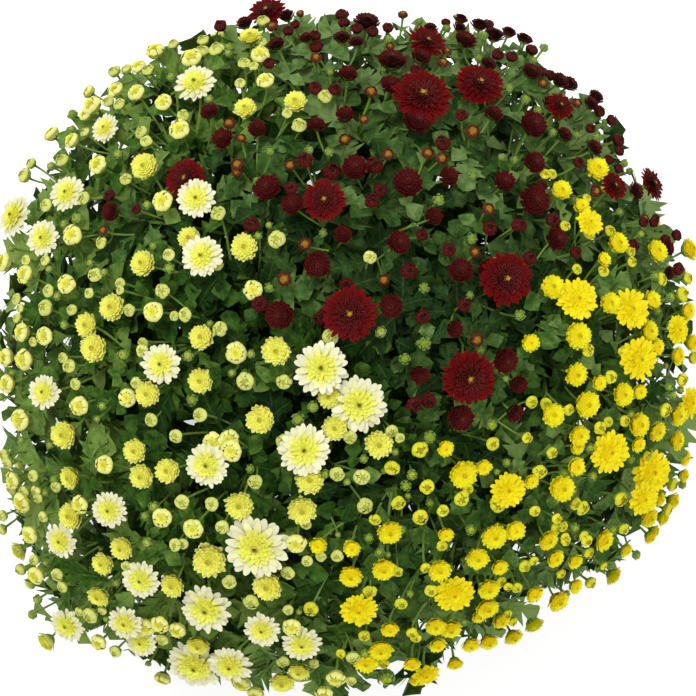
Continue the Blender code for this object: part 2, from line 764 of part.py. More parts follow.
counts = {}
for variety, centre, axis, radius in own_blooms:
    counts[variety] = counts.get(variety, 0) + 1
    petals = WIDE_BLOOM_PETALS if radius > WIDE_BLOOM_RADIUS else SMALL_BLOOM_PETALS
    profile = rosette_profile(petals, PETAL_LAYERS, (OWN_SEAT_AT, BLOOM_SEAT / radius, 5))
    rings = [ring(centre + along * radius * axis, axis, np.asarray(radii) * radius, turn)
             for along, radii, turn in profile]
    points, faces = rings_mesh(rings)
    mesh_object(f"{variety}_bloom_{counts[variety]:02d}", points, faces, petal_materials[variety])


# The pot.

def turned(name, outline, sides, finish):
    """A solid of revolution from an outline that starts and ends on the axis, outer side first."""
    mesh = bpy.data.meshes.new(name)
    mesh.from_pydata([(x, 0, z) for x, z in outline], [(i, i + 1) for i in range(len(outline) - 1)], [])
    mesh.materials.append(finish)
    made = bpy.data.objects.new(name, mesh)
    plant.objects.link(made)
    spin = made.modifiers.new("turn", "SCREW")
    spin.steps = sides
    spin.render_steps = sides
    spin.use_merge_vertices = True
    spin.merge_threshold = 0.01 * MM
    return made


def pot_radius(height):
    """The pot's outer radius at a height, on its straight tapered wall."""
    return POT_BASE_RADIUS + (POT_MOUTH_RADIUS - POT_BASE_RADIUS) * height / POT_HEIGHT


def cylinder_cutter(name, x, y, low, high, radius, sides):
    made = bmesh.new()
    bmesh.ops.create_cone(made, cap_ends=True, segments=sides, radius1=radius, radius2=radius,
                          depth=high - low, matrix=Matrix.Translation((x, y, (low + high) / 2)))
    mesh = bpy.data.meshes.new(name)
    made.to_mesh(mesh)
    made.free()
    cutter = bpy.data.objects.new(name, mesh)
    cutter.hide_render = True
    cutter.display_type = "WIRE"
    cutters.objects.link(cutter)
    return cutter


def cut(target, tools, name):
    """Take all the tools out of the target, in one go."""
    group = bpy.data.collections.new(name)
    cutters.children.link(group)
    for tool in tools:
        cutters.objects.unlink(tool)
        group.objects.link(tool)
    hole = target.modifiers.new(name, "BOOLEAN")
    hole.operation = "DIFFERENCE"
    hole.operand_type = "COLLECTION"
    hole.collection = group
    hole.solver = "EXACT"


LIP_RADIUS = POT_MOUTH_RADIUS + POT_LIP_WIDTH
pot_outline = (
    (0, POT_WALL),
    (pot_radius(POT_WALL) - POT_WALL, POT_WALL),
    (POT_MOUTH_RADIUS - POT_WALL, POT_HEIGHT),
    (LIP_RADIUS - 0.6 * MM, POT_HEIGHT),
    (LIP_RADIUS, POT_HEIGHT - POT_WALL),
    (LIP_RADIUS - 0.5 * MM, POT_HEIGHT - POT_LIP_DEPTH),
    (pot_radius(POT_HEIGHT - POT_LIP_DEPTH), POT_HEIGHT - POT_LIP_DEPTH),
    (POT_BASE_RADIUS + 0.6 * MM, 3 * MM),
    (POT_BASE_RADIUS - 2 * MM, 0),
    (0, 0),
)
pot = turned("pot", pot_outline, POT_SIDES, pot_plastic)
drains = []
for step in range(DRAIN_HOLES):
    bearing = 2 * math.pi * (step + 0.5) / DRAIN_HOLES
    x = DRAIN_CIRCLE_RADIUS * math.cos(bearing)
    y = DRAIN_CIRCLE_RADIUS * math.sin(bearing)
    drains.append(cylinder_cutter(f"drain_{step}", x, y, -2 * MM, POT_WALL + 2 * MM, DRAIN_HOLE_RADIUS, 6))
cut(pot, drains, "drains")

MIX_FLOOR = POT_WALL + FIT
mix_gap = POT_WALL + 2 * FIT
mix_outline = (
    (0, MIX_TOP),
    (pot_radius(MIX_TOP) - mix_gap, MIX_TOP),
    (pot_radius(MIX_FLOOR) - mix_gap, MIX_FLOOR),
    (0, MIX_FLOOR),
)
mix = turned("potting_mix", mix_outline, POT_SIDES, mix_material)
holes = []
for number, shoot in enumerate(shoots):
    holes.append(cylinder_cutter(f"hole_{number}", shoot.foot[0], shoot.foot[1], MIX_TOP - HOLE_DEPTH,
                                 MIX_TOP + 2 * MM, STEM_RADIUS + 4 * FIT, 5))
cut(mix, holes, "holes")
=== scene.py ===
"""A pot chrysanthemum of three varieties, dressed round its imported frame.

Metres, +Z up. The picture is 696 pixels square, and the plant is seen from straight above.
"""
import math

import bmesh
import bpy
import numpy as np
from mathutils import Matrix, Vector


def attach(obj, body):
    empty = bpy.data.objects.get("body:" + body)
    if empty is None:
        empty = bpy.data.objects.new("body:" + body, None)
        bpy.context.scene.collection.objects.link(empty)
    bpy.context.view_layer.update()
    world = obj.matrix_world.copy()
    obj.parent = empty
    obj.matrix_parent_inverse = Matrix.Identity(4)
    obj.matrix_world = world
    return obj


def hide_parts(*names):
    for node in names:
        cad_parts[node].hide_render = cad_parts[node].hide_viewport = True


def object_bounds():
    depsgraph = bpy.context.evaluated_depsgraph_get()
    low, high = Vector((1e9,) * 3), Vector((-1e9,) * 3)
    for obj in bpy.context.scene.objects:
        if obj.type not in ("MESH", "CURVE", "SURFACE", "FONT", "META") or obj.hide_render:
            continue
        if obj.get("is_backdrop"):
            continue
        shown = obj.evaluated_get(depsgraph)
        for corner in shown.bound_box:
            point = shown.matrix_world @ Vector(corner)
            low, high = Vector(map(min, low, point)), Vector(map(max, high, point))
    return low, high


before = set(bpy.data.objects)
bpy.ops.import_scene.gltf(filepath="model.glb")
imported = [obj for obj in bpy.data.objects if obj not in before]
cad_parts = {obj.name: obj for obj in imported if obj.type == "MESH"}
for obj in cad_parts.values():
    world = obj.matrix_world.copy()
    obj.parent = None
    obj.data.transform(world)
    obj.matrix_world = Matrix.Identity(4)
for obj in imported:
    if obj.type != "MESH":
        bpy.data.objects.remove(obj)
cad_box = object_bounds()

# The nursery pot. A round growing pot, injection-moulded in black polypropylene, with a rolled lip
# to lift it by, a foot ring and six drain holes. The wall is thin and tapers, and the skin is satin.

MM = 0.001
POT_HEIGHT = 150 * MM
POT_BASE_RADIUS = 68 * MM
POT_MOUTH_RADIUS = 90 * MM
POT_WALL = 2.4 * MM
POT_LIP_WIDTH = 4 * MM
POT_LIP_DEPTH = 14 * MM
POT_SIDES = 120
DRAIN_HOLES = 6
DRAIN_HOLE_RADIUS = 6 * MM
DRAIN_HOLE_SIDES = 24
DRAIN_CUT_DEPTH = 20 * MM
DRAIN_CIRCLE_RADIUS = 50 * MM
POT_CREASE = 35
POT_BLACK = "1B1C1D"
POT_DUST = "2F2D2A"
MARKS = 6


def linear(hex_colour):
    """An sRGB hex colour as linear red, green, blue and alpha."""
    shares = np.array([int(hex_colour[i:i + 2], 16) for i in (0, 2, 4)]) / 255
    low = shares / 12.92
    high = ((shares + 0.055) / 1.055) ** 2.4
    return (*np.where(shares <= 0.04045, low, high), 1)


def add(tree, kind, sockets=(), stops=(), **settings):
    """Add a node: its settings, its colour stops, and a value or an output for each socket named."""
    node = tree.nodes.new("ShaderNode" + kind)
    for name, value in settings.items():
        setattr(node, name, value)
    for step, (place, colour) in enumerate(stops):
        elements = node.color_ramp.elements
        element = elements[step] if step < 2 else elements.new(place)
        element.position = place
        element.color = linear(colour)
    for socket, value in dict(sockets).items():
        if isinstance(value, bpy.types.NodeSocket):
            tree.links.new(value, node.inputs[socket])
        else:
            node.inputs[socket].default_value = value
    return node


def ramp(tree, value, *stops):
    """The colour at a value, along stops that each give a place and a hex colour."""
    return add(tree, "ValToRGB", {"Fac": value}, stops=stops).outputs["Color"]


def noise(tree, scale, detail, roughness=0.5):
    """A noise of 0 to 1 in the piece's own metres."""
    place = add(tree, "TexCoord").outputs["Object"]
    sockets = {"Vector": place, "Scale": scale, "Detail": detail, "Roughness": roughness}
    return add(tree, "TexNoise", sockets).outputs["Fac"]


def finish_with(tree, shader, colour, height, strength, depth):
    """Give a shader its colour, and a low relief from a height, as strong and deep as said."""
    relief = add(tree, "Bump", {"Height": height, "Strength": strength, "Distance": depth})
    tree.links.new(colour, shader.inputs["Base Color"])
    tree.links.new(relief.outputs["Normal"], shader.inputs["Normal"])


def new_finish(name, roughness, ior=1.5):
    """A Principled material with its plain values set, and its tree and shader."""
    finish = bpy.data.materials.new(name)
    finish.use_nodes = True
    shader = finish.node_tree.nodes["Principled BSDF"]
    shader.inputs["Roughness"].default_value = roughness
    shader.inputs["IOR"].default_value = ior
    shader.inputs["Metallic"].default_value = 0
    return finish, finish.node_tree, shader


def new_object(name, data):
    """An object at the origin, linked to the scene."""
    made = bpy.data.objects.new(name, data)
    bpy.context.scene.collection.objects.link(made)
    return made


def piece_from(name, parts, finishes, crease=50):
    """One object at the origin from parts, each of points, face tables, marks and a finish's number.

    A face table has one row of corners for each face. The marks are two vectors for each point: how
    far along and across a blade it lies and how near the heart, or on a leaf whether it is below, then
    its tone, green and age.
    """
    points = np.concatenate([part[0].reshape(-1, 3) for part in parts])
    marks = np.concatenate([part[2].reshape(-1, MARKS) for part in parts])
    starts = np.cumsum([0] + [part[0].size // 3 for part in parts])
    tables = [(table + start, part[3]) for part, start in zip(parts, starts) for table in part[1]]
    corners = np.concatenate([table.ravel() for table, _ in tables])
    sizes = np.concatenate([np.full(len(table), table.shape[1]) for table, _ in tables])
    slots = np.concatenate([np.full(len(table), slot) for table, slot in tables])
    mesh = bpy.data.meshes.new(name)
    mesh.vertices.add(len(points))
    mesh.vertices.foreach_set("co", points.astype(np.float32).ravel())
    mesh.loops.add(len(corners))
    mesh.loops.foreach_set("vertex_index", corners.astype(np.int32))
    mesh.polygons.add(len(sizes))
    mesh.polygons.foreach_set("loop_start", np.append(0, np.cumsum(sizes)[:-1]).astype(np.int32))
    mesh.polygons.foreach_set("material_index", slots.astype(np.int32))
    mesh.update(calc_edges=True)
    mesh.shade_smooth()
    mesh.set_sharp_from_angle(angle=math.radians(crease))
    for label, values in (("blade", marks[:, :3]), ("growth", marks[:, 3:])):
        attribute = mesh.attributes.new(label, "FLOAT_VECTOR", "POINT")
        attribute.data.foreach_set("vector", values.astype(np.float32).ravel())
    for finish in finishes:
        mesh.materials.append(finish)
    return new_object(name, mesh)


def round_axis(radius, bearing, height):
    """Points at radii and bearings round the z axis, at heights."""
    return np.stack(np.broadcast_arrays(radius * np.cos(bearing), radius * np.sin(bearing), height), -1)


def ring_tables(rings, sides):
    """The face tables of a closed skin: quads from each ring of points to the next, and a fan of
    triangles at each end round a point of its own, which come after the rings."""
    step = np.arange(sides)
    after = (step + 1) % sides
    rows = np.arange(rings - 1)[:, None] * sides
    quads = np.stack((rows + step, rows + after, rows + sides + after, rows + sides + step), -1)
    first, last, top = rings * sides, rings * sides + 1, (rings - 1) * sides
    fans = np.concatenate((np.stack((np.full(sides, first), after, step), -1),
                           np.stack((np.full(sides, last), top + step, top + after), -1)))
    return [quads.reshape(-1, 4), fans]


def lathe(profile, sides):
    """A closed turned skin, as points and face tables: a ring for each radius and height of a profile
    that starts and ends on the axis, where a point closes it."""
    profile = np.array(profile, float)
    angles = np.arange(sides) * 2 * math.pi / sides
    rings = round_axis(profile[1:-1, :1], angles, profile[1:-1, 1:])
    ends = np.array(((0, 0, profile[0, 1]), (0, 0, profile[-1, 1])))
    return np.concatenate((rings.reshape(-1, 3), ends)), ring_tables(len(rings), sides)


def pot_radius(height):
    """The pot's outer radius at a height, on its straight tapered wall."""
    return POT_BASE_RADIUS + (POT_MOUTH_RADIUS - POT_BASE_RADIUS) * height / POT_HEIGHT


lip = POT_MOUTH_RADIUS + POT_LIP_WIDTH
POT_PROFILE = (
    (0, 0), (POT_BASE_RADIUS * 0.5, 0), (POT_BASE_RADIUS - 3 * MM, 0),
    (POT_BASE_RADIUS - 1.2 * MM, 0.5 * MM),
    (POT_BASE_RADIUS + 0.2 * MM, 3 * MM), (pot_radius(20 * MM), 20 * MM), (pot_radius(62 * MM), 62 * MM),
    (pot_radius(63 * MM) + 0.5 * MM, 64 * MM), (pot_radius(66 * MM) + 0.5 * MM, 66 * MM),
    (pot_radius(67 * MM), 68 * MM), (pot_radius(110 * MM), 110 * MM),
    (pot_radius(136 * MM) - 0.2 * MM, POT_HEIGHT - POT_LIP_DEPTH - 0.2 * MM),
    (lip - 1.6 * MM, POT_HEIGHT - POT_LIP_DEPTH), (lip - 0.6 * MM, POT_HEIGHT - POT_LIP_DEPTH + 0.7 * MM),
    (lip - 0.1 * MM, POT_HEIGHT - 3.6 * MM), (lip - 0.5 * MM, POT_HEIGHT - 1.3 * MM),
    (lip - 1.8 * MM, POT_HEIGHT), (POT_MOUTH_RADIUS - 1.6 * MM, POT_HEIGHT),
    (POT_MOUTH_RADIUS - POT_WALL, POT_HEIGHT - 1.2 * MM), (pot_radius(100 * MM) - POT_WALL, 100 * MM),
    (pot_radius(POT_WALL) - POT_WALL, POT_WALL), (POT_BASE_RADIUS * 0.5, POT_WALL), (0, POT_WALL),
)

# Moulded polypropylene: satin, with faint flow marks and a little potting dust.
pot_finish, tree, shader = new_finish("moulded_polypropylene", 0.42)
dusty = ramp(tree, noise(tree, 60, 6, 0.7), (0.50, POT_BLACK), (0.78, POT_DUST))
finish_with(tree, shader, dusty, noise(tree, 900, 3), 0.12, 0.2 * MM)

pot_points, pot_faces = lathe(POT_PROFILE, POT_SIDES)
pot_marks = np.zeros((len(pot_points), MARKS))
pot = piece_from("nursery_pot", [(pot_points, pot_faces, pot_marks, 0)], [pot_finish], POT_CREASE)
drains = bmesh.new()
for step in range(DRAIN_HOLES):
    bearing = 2 * math.pi * (step + 0.5) / DRAIN_HOLES
    made = bmesh.ops.create_cone(drains, cap_ends=True, segments=DRAIN_HOLE_SIDES, depth=DRAIN_CUT_DEPTH,
                                 radius1=DRAIN_HOLE_RADIUS, radius2=DRAIN_HOLE_RADIUS)
    bmesh.ops.translate(drains, verts=made["verts"], vec=(DRAIN_CIRCLE_RADIUS * math.cos(bearing),
                                                         DRAIN_CIRCLE_RADIUS * math.sin(bearing), 0))
drain_mesh = bpy.data.meshes.new("drain_cutters")
drains.to_mesh(drain_mesh)
drains.free()
drain_cutter = new_object("drain_cutters", drain_mesh)
holes = pot.modifiers.new("drain_holes", "BOOLEAN")
holes.object = drain_cutter
holes.solver = "EXACT"
bpy.context.view_layer.update()
pot.data = bpy.data.meshes.new_from_object(pot.evaluated_get(bpy.context.evaluated_depsgraph_get()))
pot.modifiers.clear()
bpy.data.objects.remove(drain_cutter)
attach(pot, "root")
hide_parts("pot")

# The potting mix. Dark fibrous peat with bark crumbs and a few white perlite grains, filled to just
# below the lip, uneven on top and pressed to the pot's own shape at its side.

MIX_TOP = 137 * MM
MIX_FLOOR = POT_WALL + 0.4 * MM
MIX_GAP = 3.0 * MM
MIX_RINGS = 34
MIX_SIDES = 96
PEAT_DARK = "1A110B"
PEAT_LIGHT = "4B3524"
PERLITE = "D9D6CC"
PERLITE_FROM = 0.9
GRAINS = 520
GRAIN_RADII = (0.9, 3.0)
GRAIN_SQUASH = ((1,), (0.8,), (0.55,))
GRAIN_SPREAD = 0.94
GRAIN_DEPTH = 1.4 * MM
CRUMB_SINK = 0.8
CRUMB_HEIGHTS = (-2.4, 0.9)
TONE_MARK = 3
MIX_CREASE = 40
MIX_SEED = 7

rng = np.random.default_rng(MIX_SEED)
reach = np.append(np.linspace(0.02, 1, MIX_RINGS), [1, 1, 1, 0.5])
mix_height = np.append(np.full(MIX_RINGS, MIX_TOP), (MIX_TOP - 4 * MM, 60 * MM, MIX_FLOOR, MIX_FLOOR))
mix_radius = reach * (pot_radius(mix_height) - MIX_GAP)
mix_profile = np.stack((np.concatenate(([0], mix_radius, [0])),
                        np.concatenate(([MIX_TOP], mix_height, [MIX_FLOOR]))), -1)[::-1]
mix_points, mix_faces = lathe(mix_profile, MIX_SIDES)
on_top = mix_points[:, 2] > MIX_TOP - 1 * MM
x, y = mix_points[:, 0] / MM, mix_points[:, 1] / MM

# The top is uneven in two long waves that cross, and rough from point to point.
crumbs = (0.9 * np.sin(0.55 * x + 1.3) * np.sin(0.61 * y) + 0.7 * np.sin(0.21 * x - 0.33 * y)
          + rng.uniform(-1.0, 1.0, len(x)))
mix_points[:, 2] += np.where(on_top, np.clip(crumbs - CRUMB_SINK, *CRUMB_HEIGHTS), 0) * MM
mix_parts = [(mix_points, mix_faces, np.zeros((len(mix_points), MARKS)), 0)]


def unit(vectors):
    """Vectors brought to length 1, along their last axis."""
    return vectors / np.linalg.norm(vectors, axis=-1, keepdims=True)


def grains(centres, radii, turns):
    """Crumbs: octahedra squashed and turned by their own drawn axes, one for each centre."""
    corners = np.array(((1, 0, 0), (-1, 0, 0), (0, 1, 0), (0, -1, 0), (0, 0, 1), (0, 0, -1.0)))
    first = unit(turns[:, 0])
    second = unit(np.cross(first, turns[:, 1]))
    third = np.cross(first, second)
    axes = np.stack((first, second, third), 1) * GRAIN_SQUASH
    points = centres[:, None] + radii[:, None, None] * np.einsum("vk,nkc->nvc", corners, axes)
    faces = np.array(((0, 2, 4), (2, 1, 4), (1, 3, 4), (3, 0, 4),
                      (2, 0, 5), (1, 2, 5), (3, 1, 5), (0, 3, 5)))
    table = (faces[None] + 6 * np.arange(len(centres))[:, None, None]).reshape(-1, 3)
    return points.reshape(-1, 3), [table]


spread = np.sqrt(rng.uniform(0, GRAIN_SPREAD, GRAINS)) * (pot_radius(MIX_TOP) - MIX_GAP - 2 * MM)
bearing = rng.uniform(0, 2 * math.pi, GRAINS)
grain_centres = round_axis(spread, bearing, rng.uniform(MIX_TOP - GRAIN_DEPTH, MIX_TOP, GRAINS))
grain_radii = rng.uniform(*GRAIN_RADII, GRAINS) * MM
grain_points, grain_faces = grains(grain_centres, grain_radii, rng.normal(size=(GRAINS, 2, 3)))
grain_marks = np.zeros((len(grain_points), MARKS))
grain_marks[:, TONE_MARK] = np.repeat(rng.uniform(0, 1, GRAINS), 6)
mix_parts.append((grain_points, grain_faces, grain_marks, 0))


def reckon(tree, operation, *values):
    """What a Math node makes of its values, which are numbers or outputs."""
    return add(tree, "Math", dict(enumerate(values)), operation=operation).outputs[0]


def blend(tree, share, first, second):
    """The first colour where the share is 0, the second where it is 1, and a blend between."""
    return add(tree, "Mix", {0: share, 6: first, 7: second}, data_type="RGBA").outputs[2]


def marks_named(tree, label):
    """The three marks that every point of the mesh carries under a label, as three outputs."""
    vector = add(tree, "Attribute", attribute_name=label).outputs["Vector"]
    return add(tree, "SeparateXYZ", {"Vector": vector}).outputs


# Peat and bark: dull, dark and fibrous, and about every tenth crumb is a white perlite grain.
mix_finish, tree, shader = new_finish("peat_and_bark", 0.95)
fibres = noise(tree, 420, 8, 0.75)
peat = ramp(tree, fibres, (0.30, PEAT_DARK), (0.75, PEAT_LIGHT))
tone, _, _ = marks_named(tree, "growth")
is_perlite = reckon(tree, "GREATER_THAN", tone, PERLITE_FROM)
finish_with(tree, shader, blend(tree, is_perlite, peat, linear(PERLITE)), fibres, 0.9, 1.2 * MM)
mix = piece_from("peat_mix", mix_parts, [mix_finish], MIX_CREASE)
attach(mix, "root")
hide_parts("potting_mix")

# The dome. The three varieties are rooted together and pinched until their heads close into one
# dome, so each head is placed on its skin, by where it shows in the view from straight above.

DOME_RADIUS = 246 * MM
DOME_RISE = 206 * MM
DOME_DROP = 100 * MM
DOME_LEVEL = 172 * MM
DOME_MIDDLE = np.array((0, 0, DOME_LEVEL))
DOME_SWELLS = ((222, 15, 0.15), (300, 24, -0.07), (85, 20, -0.06))
VIEW_CENTRE_PX = (345, 350)
VIEW_EDGE_PX = 366
VIEW_HEIGHT = 2.2
MEETING_PX = (385, 425)
RED_FROM = 40
IVORY_FROM = 107
YELLOW_FROM = 260
PIXELS_PER_SLOPE = VIEW_EDGE_PX * math.sqrt((VIEW_HEIGHT - DOME_LEVEL) ** 2 - DOME_RISE ** 2) / DOME_RADIUS


def breadth(x, y):
    """The dome's radius at bearings, as a share of DOME_RADIUS: one, and a bell curve for each swell."""
    bearing = np.degrees(np.arctan2(y, x))
    share = np.ones(np.shape(bearing))
    for middle, spread, swell in DOME_SWELLS:
        off = (bearing - middle + 180) % 360 - 180
        share = share + swell * np.exp(-(off / spread) ** 2)
    return share


def dome_share(points):
    """How far out points lie in the dome: 0 at its middle and 1 on its skin."""
    rise = np.where(points[..., 2] > DOME_LEVEL, DOME_RISE, DOME_DROP)
    radius = DOME_RADIUS * breadth(points[..., 0], points[..., 1])
    return np.sqrt((points[..., 0] ** 2 + points[..., 1] ** 2) / radius ** 2
                   + ((points[..., 2] - DOME_LEVEL) / rise) ** 2)


def dome_point(directions, share=1.0):
    """Where directions from the dome's middle meet its skin, or a share of the way there."""
    return DOME_MIDDLE + directions * (share / dome_share(DOME_MIDDLE + directions))[..., None]


def dome_normal(points):
    """The way the dome's skin faces at points on it: the ellipsoid's gradient."""
    rise = np.where(points[..., 2] > DOME_LEVEL, DOME_RISE, DOME_DROP)
    radius = DOME_RADIUS * breadth(points[..., 0], points[..., 1])
    return unit(np.stack((points[..., 0] / radius ** 2, points[..., 1] / radius ** 2,
                          (points[..., 2] - DOME_LEVEL) / rise ** 2), -1))


def seen_from_above(pixels):
    """The points of the dome's skin that show at pixels of the view: each ray meets the ellipsoid
    at the nearer root of a quadratic, and a pixel past the dome's edge is drawn in to it."""
    height = VIEW_HEIGHT - DOME_LEVEL
    across, up = pixels[:, 0] - VIEW_CENTRE_PX[0], VIEW_CENTRE_PX[1] - pixels[:, 1]
    broad = breadth(across, up)
    slope_x, slope_y = across / PIXELS_PER_SLOPE / broad, up / PIXELS_PER_SLOPE / broad
    edge = 0.999 * DOME_RADIUS / math.sqrt(height ** 2 - DOME_RISE ** 2)
    shrink = np.minimum(1, edge / np.maximum(np.hypot(slope_x, slope_y), 1e-9))
    slope_x, slope_y = slope_x * shrink, slope_y * shrink
    a = (slope_x ** 2 + slope_y ** 2) / DOME_RADIUS ** 2 + 1 / DOME_RISE ** 2
    b = -2 * height / DOME_RISE ** 2
    c = height ** 2 / DOME_RISE ** 2 - 1
    drop = (-b - np.sqrt(np.maximum(b * b - 4 * a * c, 0))) / (2 * a)
    return np.stack((slope_x * drop * broad, slope_y * drop * broad, VIEW_HEIGHT - drop), -1)


def variety_at(points):
    """Which variety grows at points, by their bearing from the place where all three meet."""
    meeting = seen_from_above(np.array([MEETING_PX], float))[0]
    bearing = np.degrees(np.arctan2(points[:, 1] - meeting[1], points[:, 0] - meeting[0])) % 360
    ivory_or_yellow = np.where((bearing >= IVORY_FROM) & (bearing < YELLOW_FROM), "ivory", "yellow")
    return np.where((bearing >= RED_FROM) & (bearing < IVORY_FROM), "red", ivory_or_yellow)


# The shoots. Twenty-three shoots lean out in rings round a middle one, each standing in the mix on a
# woody foot and forking under the heads, and one slim red shoot comes up among the ivory ones.

SHOOT_RINGS = ((1, 0, 0), (5, 27, 20), (8, 53, 0), (10, 79, 15))
STRAY_RED_PX = (213, 193)
STRAY_LEAN = 0.55
FORK_SHARE = 0.62
CROWN_RADIUS = 60 * MM
HOLE_DEPTH = 30 * MM
STEM_RADIUS = 2.6 * MM
STEM_TIP_RADIUS = 1.9 * MM
STEM_FIT = 0.3 * MM
STEM_NECK = 4 * MM
STEM_RISE = 0.35
STEM_STEPS = 16
TUBE_END = 0.3
STRAIGHT_TUBE = 0.02
UPRIGHT = 0.9

ring_angles = [(math.radians(lean), math.radians(turn + step * 360 / count))
               for count, lean, turn in SHOOT_RINGS for step in range(count)]
shoot_ways = np.array([(math.sin(lean) * math.cos(turn), math.sin(lean) * math.sin(turn), math.cos(lean))
                       for lean, turn in ring_angles])
stray_way = unit(seen_from_above(np.array([STRAY_RED_PX], float)) - DOME_MIDDLE)
shoot_variety = np.append(variety_at(dome_point(shoot_ways)), "red")
shoot_lean = np.append(np.where(np.hypot(*shoot_ways[:, :2].T) > 1e-6, 1.0, 0.0), STRAY_LEAN)
shoot_ways = np.concatenate((shoot_ways, stray_way))
SHOOTS = len(shoot_ways)
forks = dome_point(shoot_ways, FORK_SHARE)
foot_level = MIX_TOP - HOLE_DEPTH + STEM_FIT
feet = shoot_ways * (1, 1, 0) * (shoot_lean * CROWN_RADIUS)[:, None] + (0, 0, foot_level)


def bezier(start, pull, end, steps):
    """Points along quadratic curves: (1-t)^2 start + 2t(1-t) pull + t^2 end, for each row of curves."""
    t = np.linspace(0, 1, steps)[:, None]
    return (1 - t) ** 2 * start[:, None] + 2 * t * (1 - t) * pull[:, None] + t * t * end[:, None]


tops = feet + (0, 0, HOLE_DEPTH + STEM_NECK)
rises = tops + np.array((0, 0, STEM_RISE)) * np.linalg.norm(forks - tops, axis=1)[:, None]
stem_paths = np.concatenate((feet[:, None], bezier(tops, rises, forks, STEM_STEPS)), 1)


def aside(ways):
    """A vector square to each way: its cross product with an axis that it isn't close to."""
    return np.cross(ways, np.where(np.abs(ways[:, 2:]) < UPRIGHT, (0, 0, 1.0), (1.0, 0, 0)))


def tubes(paths, radii, sides):
    """Closed tubes along rows of paths that each lie in a plane: rings of radius r at
    centre + r (cos a n + sin a (t x n)), n square to the plane and t the path's direction. Each end
    is closed by a point. Points come in rows, one row for each tube, with one tube's face tables."""
    count, steps = paths.shape[:2]
    ways = unit(np.gradient(paths, axis=1))
    plane = np.cross(ways[:, 0], ways[:, -1])
    bent = np.linalg.norm(plane, axis=1, keepdims=True) > STRAIGHT_TUBE
    normal = unit(np.where(bent, plane, aside(ways[:, 0])))[:, None]
    other = unit(np.cross(ways, normal))
    normal = np.cross(other, ways)
    angles = np.arange(sides) * 2 * math.pi / sides
    rings = (paths[:, :, None] + radii[:, :, None, None]
             * (np.cos(angles)[:, None] * normal[:, :, None] + np.sin(angles)[:, None] * other[:, :, None]))
    ends = np.stack((paths[:, 0] - ways[:, 0] * radii[:, :1] * TUBE_END,
                     paths[:, -1] + ways[:, -1] * radii[:, -1:] * TUBE_END), 1)
    points = np.concatenate((rings.reshape(count, -1, 3), ends), 1)
    return points, [np.roll(table[:, ::-1], 1, axis=1) for table in ring_tables(steps, sides)]


def on_rings(values, sides):
    """One value for each ring of a tube, spread to all its points and its two ends."""
    values = np.asarray(values, float)
    return np.concatenate((np.repeat(values, sides, axis=-1), values[..., :1], values[..., -1:]), -1)


def marks_of(rows, points, along=0, across=0, heart=0, tone=0, green=0, age=0):
    """The marks of rows of points: one value for all, one for each point, or one for each row."""
    made = np.zeros((rows, points, MARKS))
    for column, values in enumerate((along, across, heart, tone, green, age)):
        made[..., column] = values
    return made


def part_of(points, tables, marks, slot=0):
    """A part from rows of points that all have the same face tables, for one finish."""
    each = points.shape[1]
    spread_out = [(table[None] + each * np.arange(len(points))[:, None, None]).reshape(-1, table.shape[1])
                  for table in tables]
    return points.reshape(-1, 3), spread_out, marks, slot


# The heads. Open blooms, half-open heads, tight buttons, golden buds and green buds, each read off
# the view from above: where it shows, in pixels, and how wide it is, in millimetres.

OPEN_BLOOMS = {
    "ivory": (
        (321, 368, 34), (359, 406, 36), (304, 450, 33), (256, 547, 42), (206, 609, 34), (195, 668, 38),
        (232, 660, 30), (161, 361, 26), (203, 257, 27), (207, 465, 28), (195, 83, 28), (44, 392, 23),
        (109, 510, 24), (61, 540, 24), (141, 580, 26), (67, 625, 25), (125, 623, 24), (262, 630, 24),
        (302, 643, 26), (14, 216, 30), (67, 193, 25), (43, 238, 24), (196, 198, 25), (105, 128, 20),
        (141, 642, 22),
    ),
    "red": (
        (422, 96, 39), (480, 84, 32), (324, 200, 28), (350, 314, 35), (505, 279, 35), (470, 378, 35),
        (183, 176, 27), (268, 10, 27), (427, 42, 26), (561, 106, 20), (652, 184, 24), (614, 186, 20),
    ),
    "yellow": (
        (578, 299, 27), (630, 310, 27), (639, 360, 29), (678, 330, 20), (610, 452, 28), (654, 473, 30),
        (633, 484, 23), (690, 403, 23), (359, 610, 25), (454, 593, 27), (508, 490, 24), (426, 675, 19),
        (590, 222, 18),
    ),
}
